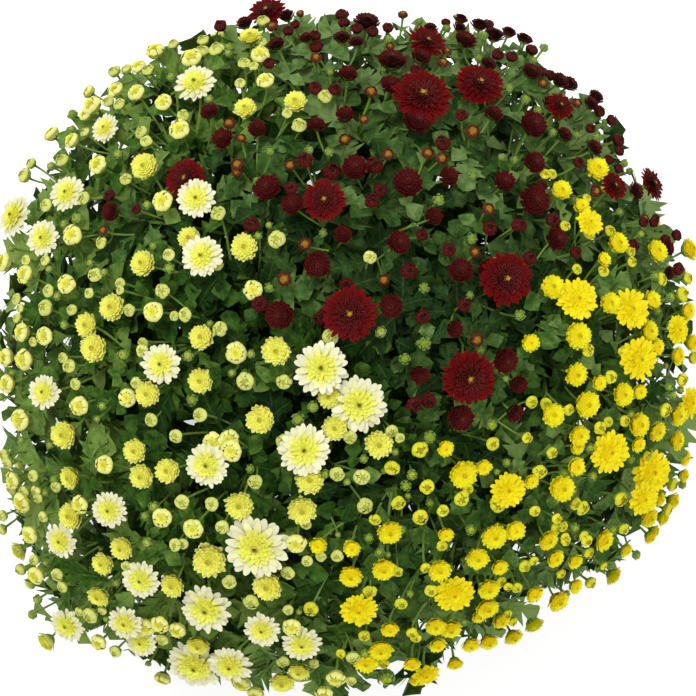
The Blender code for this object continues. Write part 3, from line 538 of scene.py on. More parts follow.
HALF_OPEN = {
    "ivory": (
        (111, 307, 16), (93, 348, 17), (142, 263, 15.5), (63, 435, 17), (147, 394, 15), (200, 381, 15),
        (201, 337, 15), (189, 238, 14), (276, 351, 17), (260, 420, 17), (335, 428, 15), (379, 445, 16.5),
        (244, 247, 16), (236, 353, 13), (209, 561, 21), (102, 564, 14), (172, 586, 15), (98, 597, 14),
        (121, 549, 14), (141, 477, 15), (167, 471, 15), (69, 478, 14), (302, 511, 17), (310, 480, 17),
        (267, 587, 18), (239, 506, 17), (299, 672, 14), (144, 166, 17), (45, 643, 15), (245, 108, 14),
        (250, 36, 14), (295, 101, 14), (134, 451, 14.5), (86, 325, 15), (329, 397, 14), (97, 164, 12.5),
        (72, 235, 13), (24, 274, 12), (3, 262, 13), (21, 332, 12), (44, 336, 11.5), (23, 360, 13),
        (5, 357, 12), (6, 384, 12), (66, 284, 12), (79, 406, 12), (127, 398, 11), (19, 420, 13.5),
        (104, 465, 11.6), (21, 503, 13.4), (12, 481, 11), (29, 535, 12), (79, 505, 11.6), (70, 516, 17),
        (35, 576, 12), (98, 643, 11), (191, 57, 13.5), (155, 50, 12.5), (138, 66, 10), (136, 92, 11.5),
        (163, 102, 11), (179, 129, 13), (260, 54, 12), (265, 80, 11), (115, 89, 10.8), (91, 105, 13),
        (88, 91, 9.5), (85, 114, 9.5), (51, 133, 11.3), (71, 140, 10.5), (162, 201, 12.7),
        (253, 290, 11.5), (153, 312, 12.4), (229, 440, 12), (231, 451, 13), (213, 443, 13),
        (162, 518, 12), (193, 529, 12.4), (296, 544, 12.5), (198, 646, 15), (159, 625, 11.5),
        (145, 628, 12.5), (177, 631, 11.5), (158, 687, 11.5), (241, 684, 13), (292, 628, 12),
        (282, 683, 16), (336, 679, 12.4), (324, 694, 11), (255, 694, 11), (137, 630, 12),
    ),
    "red": (
        (392, 59, 17.8), (417, 121, 17), (408, 182, 18), (267, 187, 16), (292, 204, 13), (534, 124, 17),
        (535, 162, 13.5), (535, 200, 18.5), (505, 181, 13), (317, 265, 16), (279, 315, 17),
        (391, 306, 14), (399, 242, 14), (461, 270, 15), (461, 418, 16), (506, 361, 15), (557, 238, 14),
        (355, 167, 16), (367, 20, 16), (420, 375, 12), (519, 385, 11), (209, 111, 11), (222, 138, 13),
        (110, 212, 12), (490, 270, 14), (343, 234, 11), (449, 176, 12), (494, 113, 11.5), (391, 84, 12.4),
        (426, 112, 8), (489, 63, 10.3), (244, 22, 11), (286, 14, 11), (276, 43, 11), (342, 36, 11.5),
        (356, 41, 9.7), (306, 37, 9), (348, 73, 12), (257, 128, 11), (316, 124, 11), (345, 114, 11),
        (431, 27, 9), (421, 56, 12), (462, 15, 10.3), (460, 26, 9), (466, 39, 14), (480, 23, 12.4),
        (495, 33, 14), (515, 20, 10.5), (534, 26, 9.3), (526, 33, 10), (532, 71, 12.4), (561, 80, 12.4),
        (571, 83, 11), (552, 103, 12), (597, 96, 11), (592, 103, 10.5), (595, 147, 11), (565, 134, 11),
        (637, 191, 12), (515, 413, 11), (455, 329, 10.4), (434, 216, 11), (669, 248, 10), (670, 273, 9),
    ),
    "yellow": (
        (553, 287, 15), (579, 336, 16), (577, 375, 14), (588, 405, 16), (624, 395, 14), (640, 425, 15),
        (554, 415, 14), (580, 436, 13), (578, 447, 10), (639, 445, 10), (619, 243, 14), (658, 251, 14),
        (611, 303, 13), (653, 300, 12), (650, 331, 13.6), (531, 343, 11), (598, 168, 14.3),
        (562, 190, 12.4), (390, 533, 15), (351, 577, 14), (384, 570, 14.5), (464, 475, 16.5),
        (440, 571, 14), (436, 627, 13), (451, 630, 14), (381, 651, 15), (366, 663, 15.5), (563, 489, 16),
        (495, 537, 16), (478, 559, 14), (549, 541, 13), (556, 559, 12.3), (489, 590, 14), (605, 541, 14),
        (650, 518, 14), (559, 602, 15), (488, 609, 14.5), (480, 617, 10), (514, 638, 13), (658, 347, 11),
        (679, 356, 12), (658, 432, 13), (678, 441, 13), (577, 467, 12), (661, 500, 9), (682, 505, 12),
        (689, 311, 12), (691, 249, 15), (693, 343, 12), (679, 416, 13), (640, 392, 10), (600, 383, 9.7),
        (516, 531, 12), (535, 595, 12), (502, 622, 12), (438, 646, 11), (471, 646, 12), (489, 643, 13),
        (455, 665, 11.5), (412, 665, 11.5), (418, 681, 12), (390, 630, 11.5), (318, 546, 10.7),
        (352, 549, 10.7), (446, 449, 10), (576, 562, 10.4), (576, 587, 10.5), (618, 580, 13.5),
        (661, 544, 10.5), (679, 526, 12), (663, 537, 10), (582, 206, 10.5), (446, 535, 9.6),
        (532, 482, 9), (500, 568, 10.5), (484, 468, 9.8), (627, 551, 9.5), (605, 259, 9), (686, 458, 11),
        (685, 476, 10),
    ),
}
BUTTONS = {
    "ivory": (
        (18, 172, 10.5), (62, 160, 9.5), (126, 179, 7.5), (84, 198, 8.5), (46, 205, 9), (101, 243, 7.5),
        (26, 260, 7), (45, 260, 7), (95, 275, 9), (330, 337, 10), (350, 437, 8.5), (392, 431, 8),
        (400, 438, 6), (284, 382, 9), (283, 441, 8.5), (277, 239, 10.5), (370, 257, 8), (45, 308, 10.5),
        (16, 299, 7.5), (20, 308, 6), (17, 318, 7), (48, 291, 8), (72, 310, 7), (89, 293, 6.5),
        (129, 310, 7.6), (120, 283, 6.5), (120, 290, 5.5), (33, 342, 6), (63, 358, 6.5), (69, 366, 9),
        (75, 384, 7.3), (136, 383, 7.5), (7, 463, 8.7), (4, 456, 9), (33, 476, 8), (56, 487, 7.5),
        (11, 489, 8), (24, 492, 8), (36, 491, 7), (38, 498, 7), (43, 517, 7.5), (2, 516, 8), (1, 530, 8),
        (20, 570, 8.7), (34, 560, 7.5), (57, 575, 9), (62, 587, 7.5), (90, 616, 10.7), (126, 566, 6.5),
        (79, 612, 6), (102, 611, 6), (115, 652, 8.7), (216, 49, 10.2), (203, 40, 8), (202, 51, 9),
        (173, 44, 7.5), (148, 70, 8), (183, 115, 7.5), (240, 83, 7), (254, 66, 6.5), (263, 21, 9),
        (262, 42, 6.5), (244, 63, 8), (325, 96, 9), (287, 113, 6.5), (299, 125, 9), (141, 132, 8),
        (146, 141, 8), (218, 213, 9), (169, 255, 7.5), (217, 264, 8), (162, 291, 9), (185, 315, 8.6),
        (174, 316, 6), (220, 329, 9), (143, 343, 6.5), (142, 351, 8), (245, 381, 10.7), (200, 415, 9),
        (151, 420, 8.4), (176, 436, 8.4), (255, 482, 9), (182, 502, 9), (212, 504, 9), (222, 527, 9),
        (175, 545, 8), (183, 544, 7), (229, 582, 9), (251, 602, 10), (162, 640, 9), (306, 524, 7),
        (337, 474, 9.3), (362, 477, 9.9), (365, 506, 9.6), (337, 556, 7.8), (321, 557, 6.4),
        (307, 561, 7.3), (288, 573, 8.5), (288, 610, 7), (283, 662, 8), (314, 664, 7), (351, 681, 7),
        (114, 71, 9), (126, 69, 8), (119, 104, 8), (108, 101, 8), (85, 132, 6.5), (22, 158, 8),
        (353, 658, 9.3),
    ),
    "red": (
        (251, 225, 10), (305, 160, 10), (332, 171, 11), (374, 165, 11), (291, 188, 8.5), (372, 201, 9),
        (380, 190, 8.5), (346, 285, 9), (220, 25, 9), (109, 195, 7.5), (136, 209, 6.5), (342, 14, 8.7),
        (344, 22, 8), (373, 31, 8), (357, 28, 8), (288, 30, 7.5), (295, 24, 6.5), (315, 35, 8),
        (316, 46, 9), (269, 63, 7.5), (315, 88, 9), (335, 89, 8.5), (388, 27, 7.5), (446, 22, 6.5),
        (490, 20, 8), (417, 70, 8.5), (462, 115, 8), (443, 143, 10), (498, 54, 8), (512, 56, 8),
        (532, 49, 8.7), (541, 71, 8), (551, 75, 8), (600, 111, 8), (612, 120, 8), (591, 128, 7),
        (619, 140, 9), (579, 162, 7.5), (620, 151, 6.5), (609, 159, 6.5), (619, 168, 7), (542, 185, 7),
        (553, 220, 9), (576, 252, 8), (530, 258, 9), (521, 225, 8), (656, 219, 6.5), (409, 271, 9.9),
        (422, 317, 8.7), (449, 250, 8.7), (464, 305, 8.7), (490, 228, 9.3), (517, 225, 8),
        (414, 404, 9.6), (429, 401, 9.3), (422, 235, 7.5), (321, 317, 9), (260, 304, 9.5), (677, 235, 8),
        (679, 269, 9), (634, 246, 8.5), (644, 222, 7), (654, 222, 7), (666, 240, 8), (258, 189, 8),
    ),
    "yellow": (
        (632, 262, 6.5), (631, 251, 7), (604, 271, 7), (662, 279, 8.5), (683, 294, 10), (688, 278, 8),
        (588, 350, 8.4), (624, 352, 8.4), (629, 369, 6.5), (611, 377, 8.4), (546, 404, 7.7),
        (569, 410, 7), (600, 428, 8), (608, 422, 6.5), (625, 421, 7.5), (666, 410, 9), (683, 380, 8.4),
        (694, 358, 8), (648, 455, 7), (673, 485, 9), (621, 499, 9.5), (668, 510, 9), (624, 529, 8),
        (565, 537, 6), (584, 536, 7), (576, 504, 8), (583, 508, 9), (563, 527, 7), (532, 402, 7.6),
        (493, 444, 8.3), (527, 438, 6.5), (552, 453, 7), (420, 450, 10), (427, 487, 9), (468, 489, 7),
        (462, 499, 9.3), (498, 504, 10.6), (443, 511, 7.5), (420, 517, 9.6), (540, 472, 9),
        (535, 511, 7.5), (557, 519, 7), (442, 546, 7.3), (375, 520, 7), (392, 468, 9), (398, 503, 8.5),
        (557, 528, 8), (426, 568, 7), (525, 566, 8.7), (534, 561, 6.2), (398, 572, 6.5), (370, 592, 8.7),
        (311, 609, 10), (401, 604, 8), (412, 633, 7.5), (416, 638, 7), (364, 636, 7.5), (341, 654, 6.5),
        (383, 664, 7.5), (431, 591, 8.3), (501, 582, 7), (508, 587, 6), (517, 588, 7.2), (507, 615, 7),
        (513, 622, 6.5), (589, 553, 8), (587, 541, 8), (604, 566, 5.5), (591, 583, 8.2), (561, 574, 6.5),
        (566, 541, 7), (607, 187, 8), (589, 233, 8.5), (565, 226, 6.5), (610, 231, 7.5), (577, 269, 6.5),
        (587, 198, 5.5), (545, 174, 6.5), (552, 174, 6.5),
    ),
}
GOLDEN_BUDS = {
    "red": (
        (316, 57, 7.5), (371, 91, 8), (345, 139, 7.5), (290, 165, 7.5), (388, 154, 8), (428, 153, 8),
        (442, 158, 8), (364, 119, 6.5), (473, 131, 9.5), (443, 62, 7.5), (447, 51, 6.5), (305, 244, 8),
        (284, 279, 9), (403, 14, 6.7), (390, 46, 6), (300, 13, 5.5), (272, 26, 8), (229, 123, 8),
        (241, 138, 6.5), (237, 164, 8), (237, 171, 8), (543, 83, 7), (577, 103, 7), (596, 191, 8),
        (645, 218, 6), (384, 280, 7), (475, 252, 7.3), (489, 209, 8), (477, 340, 9), (103, 230, 6.5),
    ),
}
GREEN_BUDS = {
    "ivory": (
        (51, 166, 6), (118, 154, 6), (77, 218, 8), (64, 224, 6), (90, 263, 5.5), (49, 269, 5.5),
        (11, 248, 5.5), (104, 272, 5), (57, 296, 6), (64, 325, 6), (123, 355, 7.5), (102, 406, 5.5),
        (97, 419, 4.5), (12, 373, 5), (1, 397, 5), (21, 440, 5), (50, 445, 5), (54, 480, 6), (45, 493, 5),
        (46, 563, 5), (37, 600, 6.5), (32, 615, 6.5), (116, 583, 5.5), (106, 619, 5), (171, 77, 6),
        (209, 99, 5.5), (229, 47, 6), (228, 53, 5.5), (153, 246, 5), (258, 236, 5), (169, 268, 6.5),
        (210, 324, 4.5), (251, 354, 5.4), (188, 356, 7), (232, 373, 5), (137, 382, 7), (192, 400, 7),
        (250, 469, 5.4), (154, 507, 7), (145, 516, 5.7), (147, 543, 6.8), (148, 664, 4.2), (72, 114, 7),
        (72, 129, 5.5), (147, 205, 5.7), (313, 407, 7), (298, 420, 8), (395, 452, 4.5), (364, 459, 5.5),
        (347, 482, 5), (325, 474, 6), (338, 535, 4), (369, 538, 6), (299, 612, 4), (381, 332, 7),
        (269, 288, 6), (269, 225, 4.5),
    ),
    "red": (
        (419, 21, 5), (389, 39, 6.5), (447, 28, 5.5), (484, 35, 6.2), (479, 58, 5.5), (509, 88, 6),
        (526, 99, 6.5), (538, 110, 5.5), (553, 132, 5.5), (577, 135, 5.5), (550, 39, 6.2), (534, 60, 5.5),
        (597, 137, 6.2), (502, 157, 5), (515, 160, 5), (473, 176, 5.5), (329, 152, 6), (309, 150, 5.5),
        (270, 151, 5.5), (257, 181, 5), (259, 236, 4), (323, 233, 5), (330, 72, 4.5), (439, 200, 7.3),
        (424, 288, 6.4), (472, 239, 6.4), (470, 295, 4.6), (425, 344, 8), (480, 350, 5.5), (405, 359, 7),
        (419, 343, 4), (506, 379, 4), (520, 315, 7), (574, 200, 5.5), (620, 212, 5), (625, 163, 5),
    ),
    "yellow": (
        (641, 234, 5), (655, 276, 6), (671, 297, 6), (631, 414, 5), (564, 474, 6.5), (593, 476, 6),
        (575, 528, 6), (613, 530, 6), (631, 460, 5.5), (590, 448, 6), (689, 487, 6), (657, 310, 6),
        (666, 366, 4), (681, 390, 5), (673, 395, 6), (669, 387, 5), (492, 425, 7), (430, 437, 7.8),
        (507, 493, 8), (507, 463, 5.5), (471, 530, 6.5), (430, 503, 5), (497, 472, 4), (379, 552, 4.5),
        (388, 555, 4), (410, 594, 4.6), (464, 622, 4), (365, 654, 6), (386, 678, 11), (638, 556, 6.4),
        (406, 486, 6.7), (412, 475, 6.7), (402, 530, 5.3), (384, 471, 4), (408, 496, 4),
    ),
}
SKIRT_HEADS = 80
SKIRT_SLOPES = (-0.34, -0.03)
SKIRT_SHARES = {"half": 0.25, "button": 0.4, "bud": 0.35}
SKIRT_WIDTHS = {"half": (12, 16), "button": (8, 11), "bud": (5, 7)}
SKIRT_DEPTH = 0.99
CLOSED_BELOW = 6.8 * MM
TIGHT_BELOW = 6.2 * MM
TIP_SPREAD = 1.05
HEAD_SEED = 11

# The smallest half-open heads are still closed or tight, and the open red blooms are the fullest.
# The petals of all but the open blooms spread a little past the width that was read.
rng = np.random.default_rng(HEAD_SEED)
READ_HEADS = {"open": OPEN_BLOOMS, "half": HALF_OPEN, "button": BUTTONS, "golden": GOLDEN_BUDS,
              "bud": GREEN_BUDS}
rows = [(px, py, width, kind, variety) for kind, table in READ_HEADS.items()
        for variety, places in table.items() for px, py, width in places]
kinds = np.array([row[3] for row in rows])
head_variety = np.array([row[4] for row in rows])
head_radius = np.array([row[2] for row in rows]) * MM / 2
head_place = seen_from_above(np.array([row[:2] for row in rows], float))
seen = len(rows)
kinds[(kinds == "half") & (head_variety == "ivory") & (head_radius < CLOSED_BELOW)] = "closed"
kinds[(kinds == "half") & (head_radius < TIGHT_BELOW)] = "tight"
kinds[(kinds == "open") & (head_variety == "red")] = "full"
head_radius = head_radius * np.where(np.isin(kinds, ("open", "full")), 1, TIP_SPREAD)

skirt_bearing = rng.uniform(0, 2 * math.pi, SKIRT_HEADS)
skirt_slope = rng.uniform(*SKIRT_SLOPES, SKIRT_HEADS)
skirt_way = unit(round_axis(1, skirt_bearing, skirt_slope))
skirt_kind = rng.choice(list(SKIRT_SHARES), SKIRT_HEADS, p=list(SKIRT_SHARES.values()))
skirt_width = sum(rng.uniform(*SKIRT_WIDTHS[kind], SKIRT_HEADS) * (skirt_kind == kind)
                  for kind in SKIRT_SHARES)
skirt_place = dome_point(skirt_way, SKIRT_DEPTH)
kinds = np.append(kinds, skirt_kind)
head_variety = np.append(head_variety, variety_at(skirt_place))
head_radius = np.append(head_radius, skirt_width * MM / 2)
head_place = np.concatenate((head_place, skirt_place))
HEADS = len(kinds)

# Small heads lie deeper than the blooms, and where two heads would meet the smaller one gives way.
# A head that is seen from above sinks along its line of sight.
SMALL_SINK = (-1, 8)
LARGE_SINK = (-3, 2)
BUD_SINK = (0, 6)
GIVING_WAY = 0.9

small = np.isin(kinds, ("bud", "button", "golden"))
sink = np.where(small, rng.uniform(*SMALL_SINK, HEADS), rng.uniform(*LARGE_SINK, HEADS)) * MM
sink = np.where(kinds == "bud", sink + rng.uniform(*BUD_SINK, HEADS) * MM, sink)
apart = np.linalg.norm(head_place[:, None] - head_place[None], axis=2)
is_smaller = head_radius[None] > head_radius[:, None]
meeting_by = np.where(is_smaller, head_radius[None] + head_radius[:, None] - apart, 0)
sink = sink + GIVING_WAY * np.maximum(meeting_by, 0).max(1)
normals = dome_normal(head_place)
sight = np.where((np.arange(HEADS) < seen)[:, None], unit(head_place - (0, 0, VIEW_HEIGHT)), -normals)
head_centre = head_place + sight * sink[:, None]

# Each head grows on the nearest shoot of its own variety, and turns up to the light, less so the
# nearer it stands to the rim, where the heads look outward.
STALK_PULL = 0.3
LIGHT_PULL = 0.8
RIM_PULL = 0.34
RIM_SHARES = (0.70, 0.96)
SKIRT_PULL = 0.5
OPEN_PULL = 0.3
HEAD_TILT = 0.2


def rim_share(points):
    """How near the rim points stand, seen from above: 0 over the middle and 1 on the outline."""
    return np.hypot(points[:, 0], points[:, 1]) / DOME_RADIUS / breadth(points[:, 0], points[:, 1])


way = unit(head_centre - DOME_MIDDLE)
likeness = way @ shoot_ways.T
likeness[head_variety[:, None] != shoot_variety[None]] = -2
head_shoot = likeness.argmax(1)
lean = unit(head_centre - forks[head_shoot])
pull = np.interp(rim_share(head_place), RIM_SHARES, (LIGHT_PULL, RIM_PULL))
pull[seen:] = SKIRT_PULL
pull[kinds == "open"] += OPEN_PULL
tilt = rng.uniform(-HEAD_TILT, HEAD_TILT, (HEADS, 3))
head_axis = unit(normals + STALK_PULL * lean + (0, 0, 1) * pull[:, None] + tilt)

# The largest open blooms are nodes of their own in the frame: they keep the frame's place and tilt.
NODE_RISE = 0.05

head_node = np.full(HEADS, "", dtype=object)
for name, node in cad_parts.items():
    if "_bloom_" not in name:
        continue
    places = np.array([vertex.co for vertex in node.data.vertices])
    middle = places.mean(0)
    flattest = np.linalg.svd(places - middle, full_matrices=False)[2][2]
    flattest = flattest * np.sign(flattest @ unit(middle - DOME_MIDDLE))
    depth = (places - middle) @ flattest
    middle = middle + flattest * (depth.max() + depth.min()) / 2
    free = np.isin(kinds, ("open", "full")) & (head_variety == name.split("_")[0]) & (head_node == "")
    gap = np.where(free, np.linalg.norm(head_place - middle, axis=1), np.inf)
    nearest = int(gap.argmin())
    head_node[nearest] = name
    head_centre[nearest] = middle + NODE_RISE * head_radius[nearest] * flattest
    head_axis[nearest] = flattest

# The forked stalks. A shoot's fork sends out a branch to each spray of about three heads, and the
# branch forks again into slender green stalks, one to a head, which swell a little under it.

HEADS_PER_SPRAY = 3.0
SPRAY_MOVES = 6
SPRAY_DEPTH = 24 * MM
SPRAY_DEPTH_SHARE = 0.6
BRANCH_ROOTS = 4
BRANCH_RADIUS = 1.25 * MM
BRANCH_TAPER = 0.8
BRANCH_BEND = 0.45
BRANCH_STEPS = 6
BRANCH_AGE = 0.12
STALK_ROOTS = 2
STALK_HEADS = (4.8 * MM, 18 * MM)
STALK_RADII = (0.696 * MM, 0.96 * MM)
STALK_BEND = 0.5
STALK_STEPS = 6
STALK_SWELL = (1, 1, 1, 1, 1.1, 1.45)
STALK_SIDES = 5
SEAT_DEPTH = 0.42
STEM_SIDES = 9
STEM_AGES = (1.0, 0.15)


def sprays_of(places, count):
    """Group places into sprays: the first middles are spread out one by one, then moved to the mean
    of what is nearest, several times over."""
    middles = places[:1]
    while len(middles) < count:
        gaps = np.linalg.norm(places[:, None] - middles[None], axis=2).min(1)
        middles = np.concatenate((middles, places[gaps.argmax()][None]))
    for _ in range(SPRAY_MOVES):
        group = np.linalg.norm(places[:, None] - middles[None], axis=2).argmin(1)
        middles = np.array([places[group == i].mean(0) if (group == i).any() else middles[i]
                            for i in range(count)])
    return group


spray_shoot, spray_place = [], []
head_spray = np.zeros(HEADS, int)
for shoot in range(SHOOTS):
    own = np.flatnonzero(head_shoot == shoot)
    if not len(own):
        continue
    group = sprays_of(head_centre[own], max(1, round(len(own) / HEADS_PER_SPRAY)))
    for spray in np.unique(group):
        members = own[group == spray]
        head_spray[members] = len(spray_shoot)
        middle = head_centre[members].mean(0)
        inward = unit(forks[shoot] - middle)
        depth = min(SPRAY_DEPTH, SPRAY_DEPTH_SHARE * np.linalg.norm(forks[shoot] - middle))
        spray_shoot.append(shoot)
        spray_place.append(middle + inward * depth)
spray_shoot = np.array(spray_shoot)
spray_place = np.array(spray_place)
SPRAYS = len(spray_shoot)

stem_end_way = unit(stem_paths[:, -1] - stem_paths[:, -3])
branch_root = stem_paths[spray_shoot, -1 - rng.integers(0, BRANCH_ROOTS, SPRAYS)]
branch_run = np.linalg.norm(spray_place - branch_root, axis=1)[:, None]
branch_pull = branch_root + stem_end_way[spray_shoot] * BRANCH_BEND * branch_run
branch_paths = bezier(branch_root, branch_pull, spray_place, BRANCH_STEPS)

stalk_root = branch_paths[head_spray, -1 - rng.integers(0, STALK_ROOTS, HEADS)]
seat = head_centre - head_axis * head_radius[:, None] * SEAT_DEPTH
stalk_run = np.linalg.norm(seat - stalk_root, axis=1)[:, None]
stalk_paths = bezier(stalk_root, seat - head_axis * STALK_BEND * stalk_run, seat, STALK_STEPS)

stem_thick = np.linspace(STEM_RADIUS, STEM_TIP_RADIUS, STEM_STEPS + 1)
stem_points, stem_tables = tubes(stem_paths, np.broadcast_to(stem_thick, stem_paths.shape[:2]), STEM_SIDES)
stem_marks = marks_of(SHOOTS, stem_points.shape[1], tone=rng.uniform(0, 1, (SHOOTS, 1)),
                      age=on_rings(np.linspace(*STEM_AGES, STEM_STEPS + 1), STEM_SIDES))
branch_thick = np.linspace(BRANCH_RADIUS, BRANCH_TAPER * BRANCH_RADIUS, BRANCH_STEPS)
branch_points, branch_tables = tubes(branch_paths, np.broadcast_to(branch_thick, branch_paths.shape[:2]),
                                     STALK_SIDES)
branch_marks = marks_of(SPRAYS, branch_points.shape[1], tone=rng.uniform(0, 1, (SPRAYS, 1)),
                        age=BRANCH_AGE)
stalk_thick = np.interp(head_radius, STALK_HEADS, STALK_RADII)
stalk_points, stalk_tables = tubes(stalk_paths, stalk_thick[:, None] * np.array(STALK_SWELL), STALK_SIDES)
stalk_marks = marks_of(HEADS, stalk_points.shape[1], tone=rng.uniform(0, 1, (HEADS, 1)))

# The calyxes. Under each head a green cup swells out of the stalk, wrapped in small overlapping
# bracts with pale papery rims. It holds a bud nearly whole, and only the foot of an open bloom.

HEAD_SIDES = 7
OPEN_CALYX = ((-0.46, 0.10), (-0.40, 0.20), (-0.27, 0.29), (-0.12, 0.26))
CALYX = {
    "open": OPEN_CALYX,
    "full": OPEN_CALYX,
    "half": ((-0.90, 0.14), (-0.80, 0.36), (-0.60, 0.50), (-0.36, 0.48)),
    "tight": ((-0.96, 0.14), (-0.86, 0.38), (-0.62, 0.54), (-0.36, 0.50)),
    "closed": ((-0.92, 0.14), (-0.82, 0.38), (-0.62, 0.54), (-0.40, 0.60)),
    "button": ((-0.88, 0.18), (-0.76, 0.46), (-0.46, 0.66), (-0.10, 0.62)),
    "golden": ((-0.88, 0.18), (-0.76, 0.46), (-0.46, 0.66), (-0.10, 0.62)),
    "bud": ((-0.96, 0.22), (-0.82, 0.56), (-0.42, 0.78), (0.10, 0.80)),
}


def turned_on_heads(table):
    """A closed shape turned round each head's axis: the table gives for each kind of head where each
    ring lies along the axis and its radius, in shares of the head's radius."""
    rings = np.array([table[kind] for kind in kinds])
    along = rings[:, :, 0] * head_radius[:, None]
    paths = head_centre[:, None] + along[..., None] * head_axis[:, None]
    return tubes(paths, rings[:, :, 1] * head_radius[:, None], HEAD_SIDES)


cup_points, cup_tables = turned_on_heads(CALYX)
cup_marks = marks_of(HEADS, cup_points.shape[1], along=0.5, tone=rng.uniform(0, 1, (HEADS, 1)))

# A blade's own variation, each a spread about what its row says, and a bract's or petal's thickness.
BLADE_COLUMNS = 3
STRAIGHT_BLADE = 1e-3
BLADE_THICKNESS = 0.16 * MM
BEARING_SPREAD = 0.10
LENGTH_SPREAD = 0.04
WIDTH_SPREAD = 0.06
LIFT_SPREAD = 0.06
CURL_SPREAD = 0.08
SWAY_SPREAD = 0.04
TONE_MEAN = 0.5
TONE_SPREAD = 0.2
RED_BUD_GREENS = (0.7, 1.0)
BUD_GREENS = (0.3, 1.0)
BUTTON_GREENS = (0.0, 0.25)


def blade_tables(stations, columns):
    """The faces of one blade: quads on an upper and a lower skin that share their rim, and a fan of
    triangles at each end."""
    upper = np.arange(stations * columns).reshape(stations, columns)
    lower = upper.copy()
    lower[:, 1:-1] = stations * columns + np.arange(stations * (columns - 2)).reshape(stations, -1)
    base = stations * (2 * columns - 2)
    tip = base + 1
    quads, fans = [], []
    for skin, turn in ((upper, 1), (lower, -1)):
        quad = np.stack((skin[:-1, :-1], skin[1:, :-1], skin[1:, 1:], skin[:-1, 1:]), -1)
        quads.append(quad.reshape(-1, 4)[:, ::turn])
        foot = np.stack((np.full(columns - 1, base), skin[0, :-1], skin[0, 1:]), -1)
        end = np.stack((skin[-1, :-1], np.full(columns - 1, tip), skin[-1, 1:]), -1)
        fans += [foot[:, ::turn], end[:, ::turn]]
    return [np.concatenate(quads), np.concatenate(fans)]


def blades(origin, out, up, length, width, lift, curl, outline, cup, thickness, sway):
    """Thin closed blades, one for each row. The midrib is an arc that leaves at an angle l = lift and
    turns by c = curl: its place is length ((sin(l + c x) - sin l) / c, (cos l - cos(l + c x)) / c)
    along out and up. The outline gives for each station the midrib's x, the rim's x, the width as a
    share of the full width, and how far the rim is raised. A column v of -1 to 1 lies v half-widths
    to the side, raised by cup v^2 of them. A sway s moves the midrib aside by s length x^2."""
    middle, rim, share, raised = np.array(outline).T[:, :, None]
    v = np.linspace(-1, 1, BLADE_COLUMNS)[None]
    spread_v = np.broadcast_to(v, (len(outline), BLADE_COLUMNS))
    inner = (slice(None), slice(1, -1))

    def skins(grid, base, tip):
        grid = np.broadcast_to(grid, spread_v.shape)
        return np.concatenate((grid.ravel(), grid[inner].ravel(), (base, tip)))

    x = skins(middle + (rim - middle) * np.abs(v), 0, 1)
    y = skins(0.5 * share * v, 0, 0)
    rise = skins(raised * np.abs(v), 0, 0) + cup * skins(0.5 * share * v * v, 0, 0)
    below = np.concatenate((np.zeros(spread_v.size), (1 - spread_v[inner] ** 2).ravel(), (0, 0)))
    across = skins(spread_v, 0, 0)
    bend = np.where(np.abs(curl) < STRAIGHT_BLADE, STRAIGHT_BLADE, curl)[:, None]
    start = lift[:, None]
    angle = start + bend * x
    run = (np.sin(angle) - np.sin(start)) / bend
    climb = (np.cos(start) - np.cos(angle)) / bend
    side = np.cross(up, out)
    face = np.cos(angle)[..., None] * up[:, None] - np.sin(angle)[..., None] * out[:, None]
    offset = width[:, None] * y + sway[:, None] * length[:, None] * x ** 2
    height = width[:, None] * rise - thickness * below
    points = (origin[:, None] + length[:, None, None] * (run[..., None] * out[:, None]
                                                         + climb[..., None] * up[:, None])
              + offset[..., None] * side[:, None] + height[..., None] * face)
    return points, blade_tables(len(outline), BLADE_COLUMNS), x, across, below > 0


head_turn = rng.uniform(0, 2 * math.pi, HEADS)
head_side = -unit(aside(head_axis))
head_other = np.cross(head_axis, head_side)
bud_green = np.where(head_variety == "red", rng.uniform(*RED_BUD_GREENS, HEADS),
                     rng.uniform(*BUD_GREENS, HEADS))
head_green = np.select([kinds == "bud", head_variety == "red", kinds == "button"],
                       [bud_green, 0, rng.uniform(*BUTTON_GREENS, HEADS)], 0.0)


